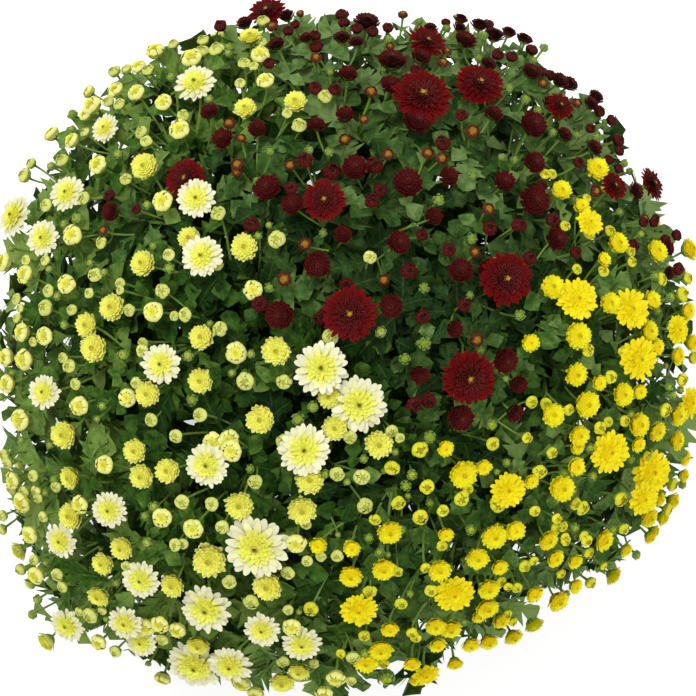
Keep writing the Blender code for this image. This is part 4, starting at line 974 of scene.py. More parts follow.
def row_on_heads(own, row, outline, shift):
    """A ring of blades on each head: how many, the foot's and the tip's distance from the axis and
    height along it, the curl in degrees, the width, the cup, and the heart mark. Sizes are shares of
    the head's radius, each a little varied. The chord from foot to tip rises at lift + curl / 2, and
    an arc is (curl / 2) / sin(curl / 2) times as long as its chord. A shift turns the ring by a share
    of the step between its blades. Short florets show their tips alone, so their marks start later, and
    the petals that close over a button are green far up."""
    count, foot, foot_height, tip, tip_height, curl, width, cup, heart = row
    radius = np.repeat(head_radius[own], count)
    amount = len(radius)
    place = np.tile(np.arange(count), len(own)) + shift + rng.normal(0, BEARING_SPREAD, amount)
    bearing = (place * 2 * math.pi / count + np.repeat(head_turn[own], count))[:, None]
    axis = np.repeat(head_axis[own], count, axis=0)
    out = (np.cos(bearing) * np.repeat(head_side[own], count, axis=0)
           + np.sin(bearing) * np.repeat(head_other[own], count, axis=0))
    from_centre = radius[:, None] * (foot * out + foot_height * axis)
    origin = np.repeat(head_centre[own], count, axis=0) + from_centre
    half_turn = math.radians(curl) / 2
    chord = math.hypot(tip - foot, tip_height - foot_height)
    length = chord * half_turn / math.sin(half_turn) if curl else chord
    lift = math.atan2(tip_height - foot_height, tip - foot) - half_turn
    points, tables, x, across, _ = blades(
        origin, out, axis, radius * length * rng.normal(1, LENGTH_SPREAD, amount),
        radius * width * rng.normal(1, WIDTH_SPREAD, amount), lift + rng.normal(0, LIFT_SPREAD, amount),
        2 * half_turn + rng.normal(0, CURL_SPREAD, amount), outline, cup, BLADE_THICKNESS,
        rng.normal(0, SWAY_SPREAD, amount))
    tone = np.clip(rng.normal(TONE_MEAN, TONE_SPREAD, amount), 0, 1)
    green = np.repeat(head_green[own], count)
    start = 0.4 if 0.3 < heart < 0.82 else 0.25 if 0.82 < heart < 0.9 else 0.0
    along = np.clip((x - start) / (1 - start), 0, 1)
    return points, tables, marks_of(amount, len(x), along, across, heart, tone[:, None], green[:, None])


BUD_BRACT_OUTLINE = ((0.32, 0.32, 0.90, 0), (0.74, 0.74, 0.80, 0))
BRACT_OUTLINE = ((0.62, 0.58, 1.0, 0),)
AGE_MARK = 5
BRACT_AGE = 0.05
OPEN_BRACTS = (8, 0.12, -0.44, 0.44, -0.22, 30, 0.28, 0.2, 0.5)
BRACT_ROWS = {
    "open": (OPEN_BRACTS,),
    "full": (OPEN_BRACTS,),
    "half": ((8, 0.18, -0.86, 0.63, -0.44, 50, 0.42, 0.2, 0.5),),
    "tight": ((8, 0.18, -0.90, 0.67, -0.42, 55, 0.46, 0.2, 0.5),),
    "closed": ((8, 0.20, -0.90, 0.84, -0.34, 70, 0.50, 0.2, 0.5),),
    "button": ((7, 0.24, -0.88, 0.86, -0.14, 80, 0.60, 0.2, 0.5),),
    "golden": ((8, 0.24, -0.88, 0.94, 0.08, 90, 0.56, 0.2, 0.5),),
    "bud": ((7, 0.24, -0.92, 0.52, 0.56, 165, 0.72, 0.2, 0.5),
            (6, 0.24, -0.94, 0.80, 0.20, 110, 0.72, 0.2, 0.4)),
}

# The leaves. Soft lobed leaves, two pairs of side lobes and a toothed end lobe, stand on the branches
# and reach into gaps. Those on the stems, which are hidden, and on the stalks have plainer outlines.

LEAF_OUTLINE = (
    (0.03, 0.03, 0.04, 0), (0.18, 0.18, 0.08, 0), (0.25, 0.31, 0.38, 0.02), (0.31, 0.36, 0.36, 0.02),
    (0.36, 0.47, 0.54, 0.05), (0.42, 0.42, 0.15, 0), (0.47, 0.54, 0.50, 0.02), (0.54, 0.59, 0.46, 0.02),
    (0.59, 0.71, 0.68, 0.06), (0.66, 0.66, 0.17, 0), (0.72, 0.78, 0.44, 0.02), (0.79, 0.82, 0.36, 0.02),
    (0.85, 0.92, 0.38, 0.03), (0.95, 0.975, 0.20, 0),
)
PLAIN_LEAF_OUTLINE = (
    (0.05, 0.05, 0.07, 0), (0.30, 0.36, 0.42, 0.02), (0.45, 0.45, 0.20, 0), (0.62, 0.70, 0.54, 0.03),
    (0.84, 0.88, 0.28, 0),
)
LEAF_THICKNESS = 0.5 * MM
LEAF_CUP = 0.32
LEAF_SWAY = 0.10
GOLDEN_ANGLE = math.radians(137.5)

# Where the leaves stand, as shares of their path, how long they are and how steeply they climb.
STEM_LEAVES = (np.linspace(0.25, 0.97, 10), 46 * MM, 25)
BRANCH_LEAVES = (np.linspace(0.15, 0.95, 5), 37 * MM, 26)
STALK_LEAVES = (np.array((0.12, 0.5)), 24 * MM, 30)
STALK_LEAF_SHARE = 0.75
LEAF_SHIFT = 0.06
LEAF_PATH_ENDS = (0.02, 0.98)
LEAF_BEARING_SPREAD = 0.3
LEAF_CLIMB_SPREAD = 12
LEAF_SIZES = (0.8, 1.15)


def leaves_along(paths, owners, leaves):
    """Leaves at shares of paths, out at the golden angle and climbing: their roots, the ways they and
    their paths go, their lengths and the shoots that own them."""
    shares, length, climb = leaves
    rows, places = len(paths), len(shares)
    steps = paths.shape[1] - 1
    shift = rng.uniform(-LEAF_SHIFT, LEAF_SHIFT, (rows, places))
    at = np.clip(shares[None] + shift, *LEAF_PATH_ENDS) * steps
    low = at.astype(int)
    row = np.arange(rows)[:, None]
    past = (at - low)[..., None]
    root = paths[row, low] * (1 - past) + paths[row, low + 1] * past
    way = unit(paths[row, low + 1] - paths[row, low])
    first = unit(np.cross(way, (0.31, 0.17, 0.93)))
    second = np.cross(way, first)
    bearing = (rng.uniform(0, 2 * math.pi, (rows, 1)) + GOLDEN_ANGLE * np.arange(places)
               + rng.normal(0, LEAF_BEARING_SPREAD, (rows, places)))
    radial = np.cos(bearing)[..., None] * first + np.sin(bearing)[..., None] * second
    rise = np.radians(climb + rng.normal(0, LEAF_CLIMB_SPREAD, (rows, places)))[..., None]
    out = unit(np.cos(rise) * radial + np.sin(rise) * way)
    size = length * rng.uniform(*LEAF_SIZES, (rows, places))
    owner = np.broadcast_to(owners[:, None], (rows, places))
    return root.reshape(-1, 3), out.reshape(-1, 3), way.reshape(-1, 3), size.ravel(), owner.ravel()


stalk_leafy = rng.uniform(size=HEADS) < STALK_LEAF_SHARE
groups = (
    leaves_along(stem_paths[:, 1:], np.arange(SHOOTS), STEM_LEAVES),
    leaves_along(branch_paths, spray_shoot, BRANCH_LEAVES),
    leaves_along(stalk_paths[stalk_leafy], head_shoot[stalk_leafy], STALK_LEAVES),
)

# Leaves reach for light wherever the shoots leave a gap: of many evenly spread places in the dome
# the least crowded is filled, one by one, each from the nearest point of a stem or a branch.
REACHING_LEAVES = 1060
REACHING_CHOICES = 3600
REACHING_SHARES = (0.66, 0.94)
REACHING_SPAN = 1.15
REACHING_LENGTHS = (36 * MM, 62 * MM)
REACH_PAST = 14 * MM
LOWEST_ROOT = 3
SHORTEST_REACH = 22 * MM
SET_ASIDE = 0.2
CROWDED = 11 * MM
FROM_ABOVE = (1, 1, 0.15)
BLADE_MIDDLE = 0.68
BLADE_SHARES = (0.4, 0.75)
CROWDING_EACH = 2
TAKEN = 99

step = np.arange(REACHING_CHOICES)
height = 1 - REACHING_SPAN * (step + 0.5) / REACHING_CHOICES
reach_to = dome_point(round_axis(np.sqrt(1 - height ** 2), GOLDEN_ANGLE * step, height),
                      rng.uniform(*REACHING_SHARES, REACHING_CHOICES))
woody_points = np.concatenate((stem_paths[:, LOWEST_ROOT:].reshape(-1, 3), branch_paths.reshape(-1, 3)))
woody_shoot = np.concatenate((np.repeat(np.arange(SHOOTS), stem_paths.shape[1] - LOWEST_ROOT),
                              np.repeat(spray_shoot, BRANCH_STEPS)))
away = np.linalg.norm(reach_to[:, None] - woody_points[None], axis=2)
away[away < SHORTEST_REACH] += SET_ASIDE
nearest = away.argmin(1)
reach_root = woody_points[nearest]
reach_out = unit(reach_to - reach_root)
reach_length = np.clip(np.linalg.norm(reach_to - reach_root, axis=1) + REACH_PAST, *REACHING_LENGTHS)
blade_middle = (reach_root + BLADE_MIDDLE * reach_length[:, None] * reach_out) * FROM_ABOVE
grown_at = np.concatenate([group[0] + part * group[3][:, None] * group[1] for group in groups
                           for part in BLADE_SHARES]) * FROM_ABOVE
apart = (blade_middle ** 2).sum(1)[:, None] + (grown_at ** 2).sum(1) - 2 * blade_middle @ grown_at.T
crowding = np.exp(-apart / CROWDED ** 2).sum(1)
picked = []
for _ in range(REACHING_LEAVES):
    pick = int(crowding.argmin())
    picked.append(pick)
    crowding += CROWDING_EACH * np.exp(-((blade_middle - blade_middle[pick]) ** 2).sum(1) / CROWDED ** 2)
    crowding[pick] += TAKEN
groups += ((reach_root[picked], reach_out[picked], unit(reach_root[picked] - DOME_MIDDLE),
            reach_length[picked], woody_shoot[nearest[picked]]),)
leaf_is_plain = np.repeat((True, False, True, False), [len(group[0]) for group in groups])
leaf_root, leaf_out, leaf_way, leaf_length, leaf_shoot = (
    np.concatenate(column) for column in zip(*groups))

# A leaf that would stand out of the dome is bent back under its skin, and those too low are left out.
LEAF_CEILINGS = (0.91, 0.97)
RIM_RISE = 0.03
RIM_STARTS = 0.72
BENDING_STEPS = 4
BEND_BACK = 0.6
BEND_IN = 0.1
LOWEST_LEAF = 150 * MM

ceiling = rng.uniform(*LEAF_CEILINGS, len(leaf_root)) + RIM_RISE * (rim_share(leaf_root) > RIM_STARTS)
for _ in range(BENDING_STEPS):
    tip = leaf_root + leaf_out * leaf_length[:, None]
    normal = dome_normal(tip)
    over = (dome_share(tip) > ceiling)[:, None]
    outward = np.maximum((leaf_out * normal).sum(1, keepdims=True), 0)
    bent = leaf_out - normal * outward * BEND_BACK - normal * BEND_IN
    leaf_out = unit(np.where(over, bent, leaf_out))
kept = (leaf_root + leaf_out * leaf_length[:, None])[:, 2] > LOWEST_LEAF
leaf_root, leaf_out, leaf_way, leaf_length, leaf_shoot, leaf_is_plain = (
    column[kept] for column in (leaf_root, leaf_out, leaf_way, leaf_length, leaf_shoot, leaf_is_plain))
LEAVES = len(leaf_root)

# Leaves face up their stem, out of the dome and to the sky, and are longer near the rim. They are
# painted paler near the rim, as if lit through from behind, and darker in the middle as painted shade.
STEM_WARD = 0.5
SKIN_WARD = 0.6
SKY_WARD = 0.45
LEAF_TONE = (0.05, 0.13)
LEAF_RIM_LIGHT = 0.50
LEAF_TONE_ENDS = (-0.2, 0.65)
LEAF_LENGTH = 0.90
LEAF_LENGTH_RISE = 0.12
BROADEST_LEAF = 48 * MM
LEAF_BREADTHS = (0.85, 1.15)
LEAF_LIFTS = (5, 28)
LEAF_CURLS = (-75, -15)
LEAF_HUE = {"ivory": 0.0, "red": 1.0, "yellow": 0.5}

light = unit(STEM_WARD * leaf_way + SKIN_WARD * dome_normal(leaf_root) + (0, 0, SKY_WARD))
leaf_up = unit(light - leaf_out * (light * leaf_out).sum(1, keepdims=True))
toward_rim = np.minimum(rim_share(leaf_root), 1) ** 2
# Painted light: the tone rises towards the rim, so rim leaves are paler as if backlit and middle ones
# darker as painted shade.
leaf_tone_and_light = np.clip(rng.normal(*LEAF_TONE, LEAVES) + LEAF_RIM_LIGHT * toward_rim, *LEAF_TONE_ENDS)
leaf_length = leaf_length * (LEAF_LENGTH + LEAF_LENGTH_RISE * toward_rim)
leaf_width = np.minimum(leaf_length, BROADEST_LEAF) * rng.uniform(*LEAF_BREADTHS, LEAVES)
leaf_lift = np.radians(rng.uniform(*LEAF_LIFTS, LEAVES))
leaf_curl = np.radians(rng.uniform(*LEAF_CURLS, LEAVES))
leaf_hue = np.array([LEAF_HUE[shoot_variety[shoot]] for shoot in leaf_shoot])


def leaf_part(grown, outline):
    """The leaves numbered, as one part, each with its tone, which carries painted rim light, and its
    variety's green.
    """
    points, tables, x, across, under = blades(
        leaf_root[grown], leaf_out[grown], leaf_up[grown], leaf_length[grown], leaf_width[grown],
        leaf_lift[grown], leaf_curl[grown], outline, LEAF_CUP, LEAF_THICKNESS,
        rng.normal(0, LEAF_SWAY, len(grown)))
    tone, hue = leaf_tone_and_light[grown][:, None], leaf_hue[grown][:, None]
    return part_of(points, tables, marks_of(len(grown), len(x), x, across, under, tone, hue), 1)


def share_of(tree, value, low, high, top=1.0, **settings):
    """How far a value has come from low to high, times top."""
    span = {"Value": value, "From Min": low, "From Max": high, "To Max": top}
    return add(tree, "MapRange", span, **settings).outputs[0]


BRACT_RIM = "C9D68C"
VEIN = "527A2E"
UNDERSIDE = "4A6630"
VEIN_SLANT = -0.14
VEIN_WAVES = 44.0

# Stems: tender and pale green by the heads, with fine ribs, woody and brown where they stand.
stem_finish, tree, shader = new_finish("green_stem", 0.55, 1.25)
_, across, _ = marks_named(tree, "blade")
_, _, age = marks_named(tree, "growth")
mottle = noise(tree, 260, 4)
bark = ramp(tree, reckon(tree, "MULTIPLY_ADD", mottle, 0.16, age),
            (0.0, "88A648"), (0.14, "6C8E38"), (0.4, "4E6E2C"), (0.75, "6B5A3A"), (1.0, "5A4630"))
papery = share_of(tree, reckon(tree, "ABSOLUTE", across), 0.45, 1.0)
finish_with(tree, shader, blend(tree, papery, bark, linear(BRACT_RIM)), mottle, 0.25, 0.3 * MM)

# Leaves: soft and matt, mid to dark green above with pale sunken veins, greyer below.
leaf_finish, tree, shader = new_finish("chrysanthemum_leaf", 0.65, 1.18)
along, across, under = marks_named(tree, "blade")
tone, hue, _ = marks_named(tree, "growth")
mottle = noise(tree, 150, 6, 0.65)
# The tone carries painted light: paler greens near the rim, darker ones in the middle as painted shade.
shade = reckon(tree, "MULTIPLY_ADD", mottle, 0.9, tone)
green = ramp(tree, shade, (0.25, "0E2208"), (0.5, "203E11"), (0.72, "456B22"), (0.95, "809C48"))
blue_green = ramp(tree, shade, (0.25, "12260D"), (0.5, "253F18"), (0.72, "48682C"), (0.95, "7C9856"))
edge = reckon(tree, "ABSOLUTE", across)
slant = reckon(tree, "MULTIPLY_ADD", edge, VEIN_SLANT, along)
waves = reckon(tree, "SINE", reckon(tree, "MULTIPLY", slant, VEIN_WAVES))
side_vein = share_of(tree, waves, 0.86, 1.0, 0.2)
midrib = share_of(tree, edge, 0.10, 0.03, 0.38)
vein = reckon(tree, "MAXIMUM", side_vein, midrib)
veined = blend(tree, vein, blend(tree, hue, green, blue_green), linear(VEIN))
quilted = reckon(tree, "MULTIPLY_ADD", vein, -0.6, mottle)
finish_with(tree, shader, blend(tree, under, veined, linear(UNDERSIDE)), quilted, 0.35, 0.6 * MM)

shoot_names = []
for shoot in range(SHOOTS):
    variety = shoot_variety[shoot]
    shoot_names.append(f"{variety}_shoot_{(shoot_variety[:shoot + 1] == variety).sum():02d}")
    own = np.flatnonzero(head_shoot == shoot)
    sprays = np.flatnonzero(spray_shoot == shoot)
    lobed = np.flatnonzero((leaf_shoot == shoot) & ~leaf_is_plain)
    plain = np.flatnonzero((leaf_shoot == shoot) & leaf_is_plain)
    parts = [
        part_of(stem_points[[shoot]], stem_tables, stem_marks[[shoot]]),
        part_of(branch_points[sprays], branch_tables, branch_marks[sprays]),
        part_of(stalk_points[own], stalk_tables, stalk_marks[own]),
        part_of(cup_points[own], cup_tables, cup_marks[own]),
        leaf_part(lobed, LEAF_OUTLINE),
        leaf_part(plain, PLAIN_LEAF_OUTLINE),
    ]
    for kind, bract_rows in BRACT_ROWS.items():
        of_kind = own[kinds[own] == kind]
        for step, row in enumerate(bract_rows if len(of_kind) else ()):
            outline = BUD_BRACT_OUTLINE if kind == "bud" else BRACT_OUTLINE
            points, tables, marks = row_on_heads(of_kind, row, outline, 0.5 * step)
            marks[..., AGE_MARK] = BRACT_AGE
            parts.append(part_of(points, tables, marks))
    made = piece_from(shoot_names[-1].replace("shoot", "greenery"), parts, [stem_finish, leaf_finish])
    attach(made, "root")
    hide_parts(shoot_names[-1])

# The petals. Every head is rows of florets: long rays round the outside of an open bloom, and ever
# smaller, more upright and more incurved ones towards its heart, which stay tightly folded in a bud.

OUTLINES = {
    "ray": ((0.10, 0.10, 0.40, 0), (0.38, 0.38, 0.76, 0), (0.66, 0.66, 1.0, 0), (0.85, 0.85, 0.86, 0),
            (0.955, 0.96, 0.46, 0)),
    "short": ((0.20, 0.20, 0.60, 0), (0.66, 0.66, 1.0, 0), (0.92, 0.92, 0.62, 0)),
    "scale": ((0.34, 0.34, 0.80, 0), (0.80, 0.82, 0.95, 0)),
    "floret": ((0.80, 0.75, 1.0, 0),),
    "low": ((0.36, 0.36, 0.90, 0), (0.82, 0.82, 0.80, 0)),
    "wrap": ((0.26, 0.26, 0.80, 0), (0.60, 0.60, 1.0, 0), (0.88, 0.88, 0.64, 0)),
}
PETAL_ROWS = {
    "open": (
        ("ray", (13, 0.14, -0.10, 1.00, -0.02, -10, 0.27, 0.12, 0.00)),
        ("ray", (13, 0.14, -0.07, 0.95, 0.03, -12, 0.27, 0.14, 0.02)),
        ("ray", (12, 0.13, -0.04, 0.82, 0.07, -12, 0.22, 0.16, 0.10)),
        ("short", (13, 0.13, 0.00, 0.64, 0.13, -10, 0.19, 0.20, 0.24)),
        ("floret", (17, 0.20, 0.00, 0.535, 0.18, -24, 0.15, 0.3, 0.34)),
        ("floret", (14, 0.14, 0.04, 0.44, 0.215, -24, 0.15, 0.3, 0.38)),
        ("floret", (11, 0.08, 0.07, 0.345, 0.24, -24, 0.15, 0.3, 0.42)),
        ("floret", (8, 0.03, 0.10, 0.25, 0.255, -24, 0.15, 0.3, 0.46)),
        ("floret", (5, 0.00, 0.12, 0.16, 0.26, -20, 0.14, 0.3, 0.50)),
        ("floret", (4, 0.00, 0.22, 0.085, 0.275, -10, 0.12, 0.3, 0.545)),
    ),
    "full": (
        ("ray", (17, 0.14, -0.10, 1.00, -0.02, -10, 0.21, 0.12, 0.00)),
        ("ray", (17, 0.14, -0.07, 0.94, 0.04, -12, 0.21, 0.14, 0.03)),
        ("ray", (16, 0.13, -0.04, 0.83, 0.10, -14, 0.18, 0.16, 0.10)),
        ("short", (16, 0.13, 0.00, 0.70, 0.15, -14, 0.16, 0.20, 0.18)),
        ("short", (15, 0.13, 0.02, 0.57, 0.19, -14, 0.14, 0.20, 0.25)),
        ("floret", (14, 0.14, 0.04, 0.45, 0.225, -24, 0.14, 0.3, 0.34)),
        ("floret", (11, 0.08, 0.07, 0.35, 0.25, -24, 0.14, 0.3, 0.38)),
        ("floret", (8, 0.03, 0.10, 0.25, 0.265, -24, 0.14, 0.3, 0.42)),
        ("floret", (5, 0.00, 0.12, 0.15, 0.27, -20, 0.12, 0.3, 0.50)),
        ("floret", (4, 0.00, 0.27, 0.075, 0.285, -10, 0.11, 0.3, 0.56)),
    ),
    "half": (
        ("scale", (19, 0.42, -0.62, 1.04, 0.00, 14, 0.33, 0.2, 0.60)),
        ("floret", (17, 0.40, -0.30, 0.92, 0.12, -16, 0.38, 0.2, 0.63)),
        ("floret", (15, 0.28, -0.06, 0.74, 0.215, -20, 0.34, 0.2, 0.66)),
        ("floret", (12, 0.20, 0.03, 0.59, 0.285, -22, 0.33, 0.2, 0.69)),
        ("floret", (10, 0.12, 0.10, 0.445, 0.33, -24, 0.30, 0.2, 0.72)),
        ("floret", (7, 0.05, 0.15, 0.31, 0.355, -24, 0.28, 0.2, 0.75)),
        ("floret", (5, 0.00, 0.19, 0.19, 0.365, -20, 0.22, 0.2, 0.77)),
        ("floret", (3, 0.00, 0.22, 0.06, 0.37, -10, 0.10, 0.2, 0.80)),
    ),
    "tight": (
        ("scale", (15, 0.40, -0.66, 1.02, 0.00, 26, 0.40, 0.2, 0.60)),
        ("floret", (13, 0.32, -0.15, 0.80, 0.19, -14, 0.42, 0.2, 0.64)),
        ("floret", (10, 0.22, 0.02, 0.60, 0.30, -18, 0.40, 0.2, 0.68)),
        ("floret", (7, 0.10, 0.12, 0.39, 0.36, -20, 0.36, 0.2, 0.72)),
        ("floret", (5, 0.00, 0.18, 0.21, 0.38, -18, 0.25, 0.2, 0.76)),
        ("floret", (3, 0.00, 0.22, 0.06, 0.385, -10, 0.11, 0.2, 0.80)),
    ),
    "closed": (
        ("wrap", (13, 0.34, -0.60, 0.50, 0.38, 195, 0.60, 0.2, 0.60)),
        ("floret", (12, 0.24, 0.26, 0.58, 0.40, -20, 0.33, 0.2, 0.65)),
        ("floret", (9, 0.14, 0.30, 0.44, 0.44, -18, 0.32, 0.2, 0.69)),
        ("floret", (7, 0.06, 0.32, 0.31, 0.46, -16, 0.28, 0.2, 0.73)),
        ("floret", (5, 0.02, 0.32, 0.18, 0.46, -14, 0.22, 0.2, 0.76)),
        ("floret", (3, 0.00, 0.32, 0.06, 0.44, -10, 0.12, 0.2, 0.80)),
    ),
    "button": (
        ("wrap", (9, 0.28, -0.68, 0.42, 0.48, 186, 0.84, 0.2, 0.85)),
        ("low", (6, 0.24, -0.50, 0.28, 0.51, 165, 0.72, 0.2, 0.87)),
        ("floret", (5, 0.04, 0.10, 0.25, 0.47, -10, 0.30, 0.3, 0.90)),
        ("floret", (3, 0.00, 0.14, 0.10, 0.47, -10, 0.20, 0.3, 0.92)),
    ),
    "bud": (
        ("wrap", (6, 0.34, -0.20, 0.20, 0.74, 130, 0.64, 0.2, 0.95)),
        ("floret", (3, 0.10, 0.30, 0.08, 0.76, 60, 0.24, 0.2, 0.96)),
    ),
    "golden": (
        ("wrap", (10, 0.28, -0.68, 0.54, 0.42, 170, 0.78, 0.2, 0.885)),
        ("floret", (9, 0.26, 0.00, 0.38, 0.42, 85, 0.26, 0.3, 0.99)),
        ("floret", (6, 0.16, 0.05, 0.22, 0.46, 80, 0.22, 0.3, 1.0)),
        ("floret", (3, 0.05, 0.10, 0.07, 0.47, 70, 0.16, 0.3, 1.0)),
    ),
}

# Under the florets a solid heart fills the head, so that no light comes through between their feet.
OPEN_HEART = ((-0.30, 0.22), (-0.06, 0.40), (0.08, 0.38), (0.16, 0.20))
HEART = {
    "open": OPEN_HEART,
    "full": OPEN_HEART,
    "half": ((-0.60, 0.38), (-0.16, 0.66), (0.08, 0.56), (0.24, 0.25)),
    "tight": ((-0.60, 0.38), (-0.16, 0.66), (0.10, 0.54), (0.25, 0.25)),
    "closed": ((-0.56, 0.50), (-0.10, 0.78), (0.20, 0.66), (0.33, 0.42)),
    "button": ((-0.60, 0.50), (-0.10, 0.76), (0.26, 0.62), (0.38, 0.36)),
    "golden": ((-0.60, 0.50), (-0.10, 0.72), (0.20, 0.58), (0.31, 0.25)),
    "bud": ((-0.70, 0.50), (-0.15, 0.76), (0.32, 0.68), (0.58, 0.26)),
}
HEART_MARK = {"open": 0.45, "full": 0.40, "half": 0.72, "tight": 0.72, "closed": 0.72, "button": 0.90,
              "golden": 1.0, "bud": 0.95}
heart_points, heart_tables = turned_on_heads(HEART)
heart_mark = np.array([HEART_MARK[kind] for kind in kinds])
heart_marks = marks_of(HEADS, heart_points.shape[1], heart=heart_mark[:, None], tone=0.4,
                       green=head_green[:, None])

# Petals are matt. A row's place in the head sets the colours of a petal's foot, tip and rim, and what
# is still in bud is greener. The ivory rays' lemon wash at the foot is their own, but the darker feet of
# florets, scales and red petals are painted shade where each row lies under the one above. The dark stops
# near 0.54 and 0.79 are the olive middle florets, darkened as painted shade in the dimple of open and
# half-open heads. The streaks are coarser than real ones, to show at all.
PETAL_COLOURS = {
    "ivory": {
        "tip": ((0.0, "F8F7D0"), (0.12, "F9F7B6"), (0.24, "FAF88C"), (0.33, "FCFF70"), (0.49, "FCFF66"),
                (0.54, "807222"), (0.59, "FFFFA0"), (0.63, "FFFF78"), (0.75, "FFFD60"), (0.79, "6E6424"),
                (0.85, "EEF086"), (0.90, "E0E06A"), (0.95, "CCD668"), (1.0, "E0C860")),
        "foot": ((0.0, "F5EFA4"), (0.12, "F3EA7C"), (0.24, "F2E85C"), (0.34, "F6F05C"), (0.49, "EEE650"),
                 (0.54, "4A4014"), (0.60, "E4E078"), (0.64, "E0D850"), (0.75, "DAD042"), (0.79, "4E4418"),
                 (0.85, "B4C65C"), (0.90, "B4B84A"), (0.95, "A8BA4A"), (1.0, "B89A30")),
        "rim": ((0.0, "E8E4D4"), (0.20, "F4F0B4"), (0.34, "FFFB88"), (0.60, "FFFDD0"), (0.75, "FFFC98"),
                (0.85, "F8F4A4"), (0.90, "DCDA74"), (1.0, "E8E0A0")),
        "green": "9CB43E",
    },
    "red": {
        "tip": ((0.0, "6A0504"), (0.12, "520403"), (0.27, "460403"), (0.34, "4C080A"), (0.44, "561410"),
                (0.50, "8A5A1C"), (0.56, "B89434"), (0.60, "600D11"), (0.66, "4A080B"), (0.76, "50100C"),
                (0.80, "A05038"), (0.85, "4A090C"), (0.90, "6E2E20"), (0.95, "98AE48"), (0.985, "8A5A20"),
                (1.0, "C89C34")),
        "foot": ((0.0, "440406"), (0.12, "300304"), (0.27, "220304"), (0.44, "1E0203"), (0.56, "B88E24"),
                 (0.60, "4C0A0E"), (0.63, "260304"), (0.80, "1E0203"), (0.85, "300506"),
                 (0.90, "260404"), (0.95, "607430"), (1.0, "A47C28")),
        "rim": ((0.0, "820C10"), (0.20, "6C1012"), (0.30, "9A4A44"), (0.60, "843C36"), (0.78, "98524A"),
                (0.85, "742020"), (0.90, "8A4838"), (0.95, "B8C870"), (1.0, "E8BC54")),
        "green": "94AE3C",
    },
    "yellow": {
        "tip": ((0.0, "FFEC1C"), (0.27, "FFF018"), (0.49, "FFF418"), (0.54, "D8AC14"), (0.59, "FFFA30"),
                (0.75, "FFF820"), (0.79, "8A6414"), (0.85, "FAF23A"), (0.90, "E4D42C"), (0.95, "C6D234"),
                (1.0, "E0C030")),
        "foot": ((0.0, "FFE410"), (0.27, "FFE00C"), (0.36, "FFE814"), (0.49, "FFE614"), (0.54, "B88C14"),
                 (0.60, "FFF018"), (0.66, "FFE618"), (0.75, "F6DA18"), (0.80, "7A5A14"), (0.85, "BECC34"),
                 (0.90, "A89E20"), (0.95, "9CB430"), (1.0, "A88A20")),
        "rim": ((0.0, "FFF438"), (0.60, "FFFA4C"), (0.85, "F8F260"), (0.90, "DCD440"), (1.0, "F0E070")),
        "green": "98B030",
    },
}
# Where the rim's colour starts and is full, from the middle of a petal to its rim, and how strong it is.
RIMS = {"ivory": (0.42, 0.80, 0.5), "red": (0.26, 0.60, 0.6), "yellow": (0.42, 0.80, 0.45)}
STREAK_WAVES = 16.0
petal_finishes = {}
for variety, colours in PETAL_COLOURS.items():
    petal_finishes[variety], tree, shader = new_finish(f"{variety}_petal", 0.65, 1.18)
    along, across, heart = marks_named(tree, "blade")
    tone, unripe, _ = marks_named(tree, "growth")
    tip, foot, rim = (ramp(tree, heart, *colours[end]) for end in ("tip", "foot", "rim"))
    # From foot to tip: the darker foot colour is painted shade under the row above, besides any real base
    # tint.
    petal = blend(tree, share_of(tree, along, 0.2, 0.7, interpolation_type="SMOOTHSTEP"), foot, tip)
    outer = reckon(tree, "MULTIPLY", reckon(tree, "ABSOLUTE", across), along)
    petal = blend(tree, share_of(tree, outer, *RIMS[variety]), petal, rim)
    petal = blend(tree, unripe, petal, linear(colours["green"]))
    streaks = reckon(tree, "COSINE", reckon(tree, "MULTIPLY", across, STREAK_WAVES))
    paler = reckon(tree, "MULTIPLY_ADD", tone, 0.22, 0.86)
    value = reckon(tree, "MULTIPLY_ADD", streaks, 0.02, paler)
    varied = add(tree, "HueSaturation", {"Value": value, "Color": petal}).outputs["Color"]
    finish_with(tree, shader, varied, streaks, 0.15, 0.2 * MM)


def petal_piece(name, own, variety, node):
    """The petals of some heads of one variety as one piece, which stands for the node named."""
    parts = [part_of(heart_points[own], heart_tables, heart_marks[own])]
    for kind, petal_rows in PETAL_ROWS.items():
        of_kind = own[kinds[own] == kind]
        for step, (outline, row) in enumerate(petal_rows if len(of_kind) else ()):
            points, tables, marks = row_on_heads(of_kind, row, OUTLINES[outline], 0.5 * step)
            parts.append(part_of(points, tables, marks))
    made = piece_from(name, parts, [petal_finishes[variety]])
    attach(made, "root")
    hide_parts(node)


for shoot, name in enumerate(shoot_names):
    own = np.flatnonzero((head_shoot == shoot) & (head_node == ""))
    if len(own):
        petal_piece(name.replace("shoot", "heads"), own, shoot_variety[shoot], name)
for head in np.flatnonzero(head_node != ""):
    name = head_node[head]
    petal_piece(name.replace("bloom", "rays"), np.array([head]), head_variety[head], name)

# The stage: a plain pale floor, soft studio light from above, and a camera straight over the plant.

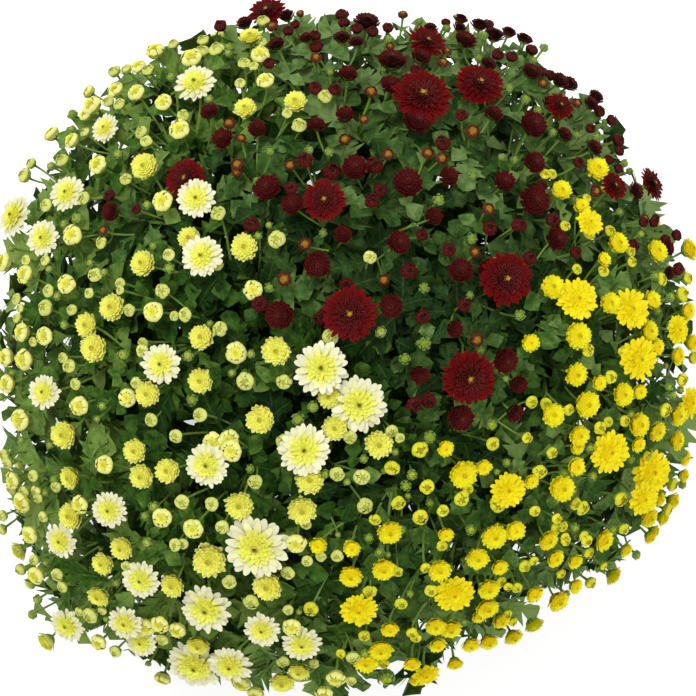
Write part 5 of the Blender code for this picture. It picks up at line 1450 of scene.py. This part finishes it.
FLOOR_HALF = 4.0
FLOOR_WHITE = "FAFAFA"
FLOOR_GLOW = 0.45
WHITE = (1, 1, 1, 1)
SURROUND = 0.55
LAMPS = (("key_light", (-0.6, 0.9, 2.6), 1.0, 40), ("fill_light", (0.9, -0.7, 2.4), 1.4, 16))
LAMP_AIM = (0, 0, 0.3)

floor_mesh = bpy.data.meshes.new("pale_floor")
floor_mesh.from_pydata([(-FLOOR_HALF, -FLOOR_HALF, 0), (FLOOR_HALF, -FLOOR_HALF, 0),
                        (FLOOR_HALF, FLOOR_HALF, 0), (-FLOOR_HALF, FLOOR_HALF, 0)], [], [(0, 1, 2, 3)])
floor_finish, tree, shader = new_finish("pale_floor", 0.9)
shader.inputs["Base Color"].default_value = linear(FLOOR_WHITE)
shader.inputs["Emission Color"].default_value = WHITE
shader.inputs["Emission Strength"].default_value = FLOOR_GLOW
floor_mesh.materials.append(floor_finish)
floor = new_object("pale_floor", floor_mesh)
floor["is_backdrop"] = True

world = bpy.data.worlds.new("soft_surround")
world.use_nodes = True
world.node_tree.nodes["Background"].inputs["Color"].default_value = WHITE
world.node_tree.nodes["Background"].inputs["Strength"].default_value = SURROUND
bpy.context.scene.world = world
for name, place, size, power in LAMPS:
    lamp = bpy.data.lights.new(name, "AREA")
    lamp.size = size
    lamp.energy = power
    holder = new_object(name, lamp)
    holder.location = place
    aim = np.array(LAMP_AIM) - place
    holder.rotation_euler = (math.acos(-aim[2] / np.linalg.norm(aim)), 0, math.atan2(aim[0], -aim[1]))

PICTURE_PX = 696
SENSOR_WIDTH = 36
camera_lens = bpy.data.cameras.new("camera")
camera_lens.sensor_width = SENSOR_WIDTH
camera_lens.lens = SENSOR_WIDTH * PIXELS_PER_SLOPE / PICTURE_PX
camera_lens.shift_x = (PICTURE_PX / 2 - VIEW_CENTRE_PX[0]) / PICTURE_PX
camera_lens.shift_y = (VIEW_CENTRE_PX[1] - PICTURE_PX / 2) / PICTURE_PX
camera = new_object("camera", camera_lens)
camera.location = (0, 0, VIEW_HEIGHT)
bpy.context.scene.camera = camera
bpy.context.scene.view_settings.view_transform = "Standard"

size = {"cad": [list(corner) for corner in cad_box], "visual": [list(corner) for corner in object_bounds()]}
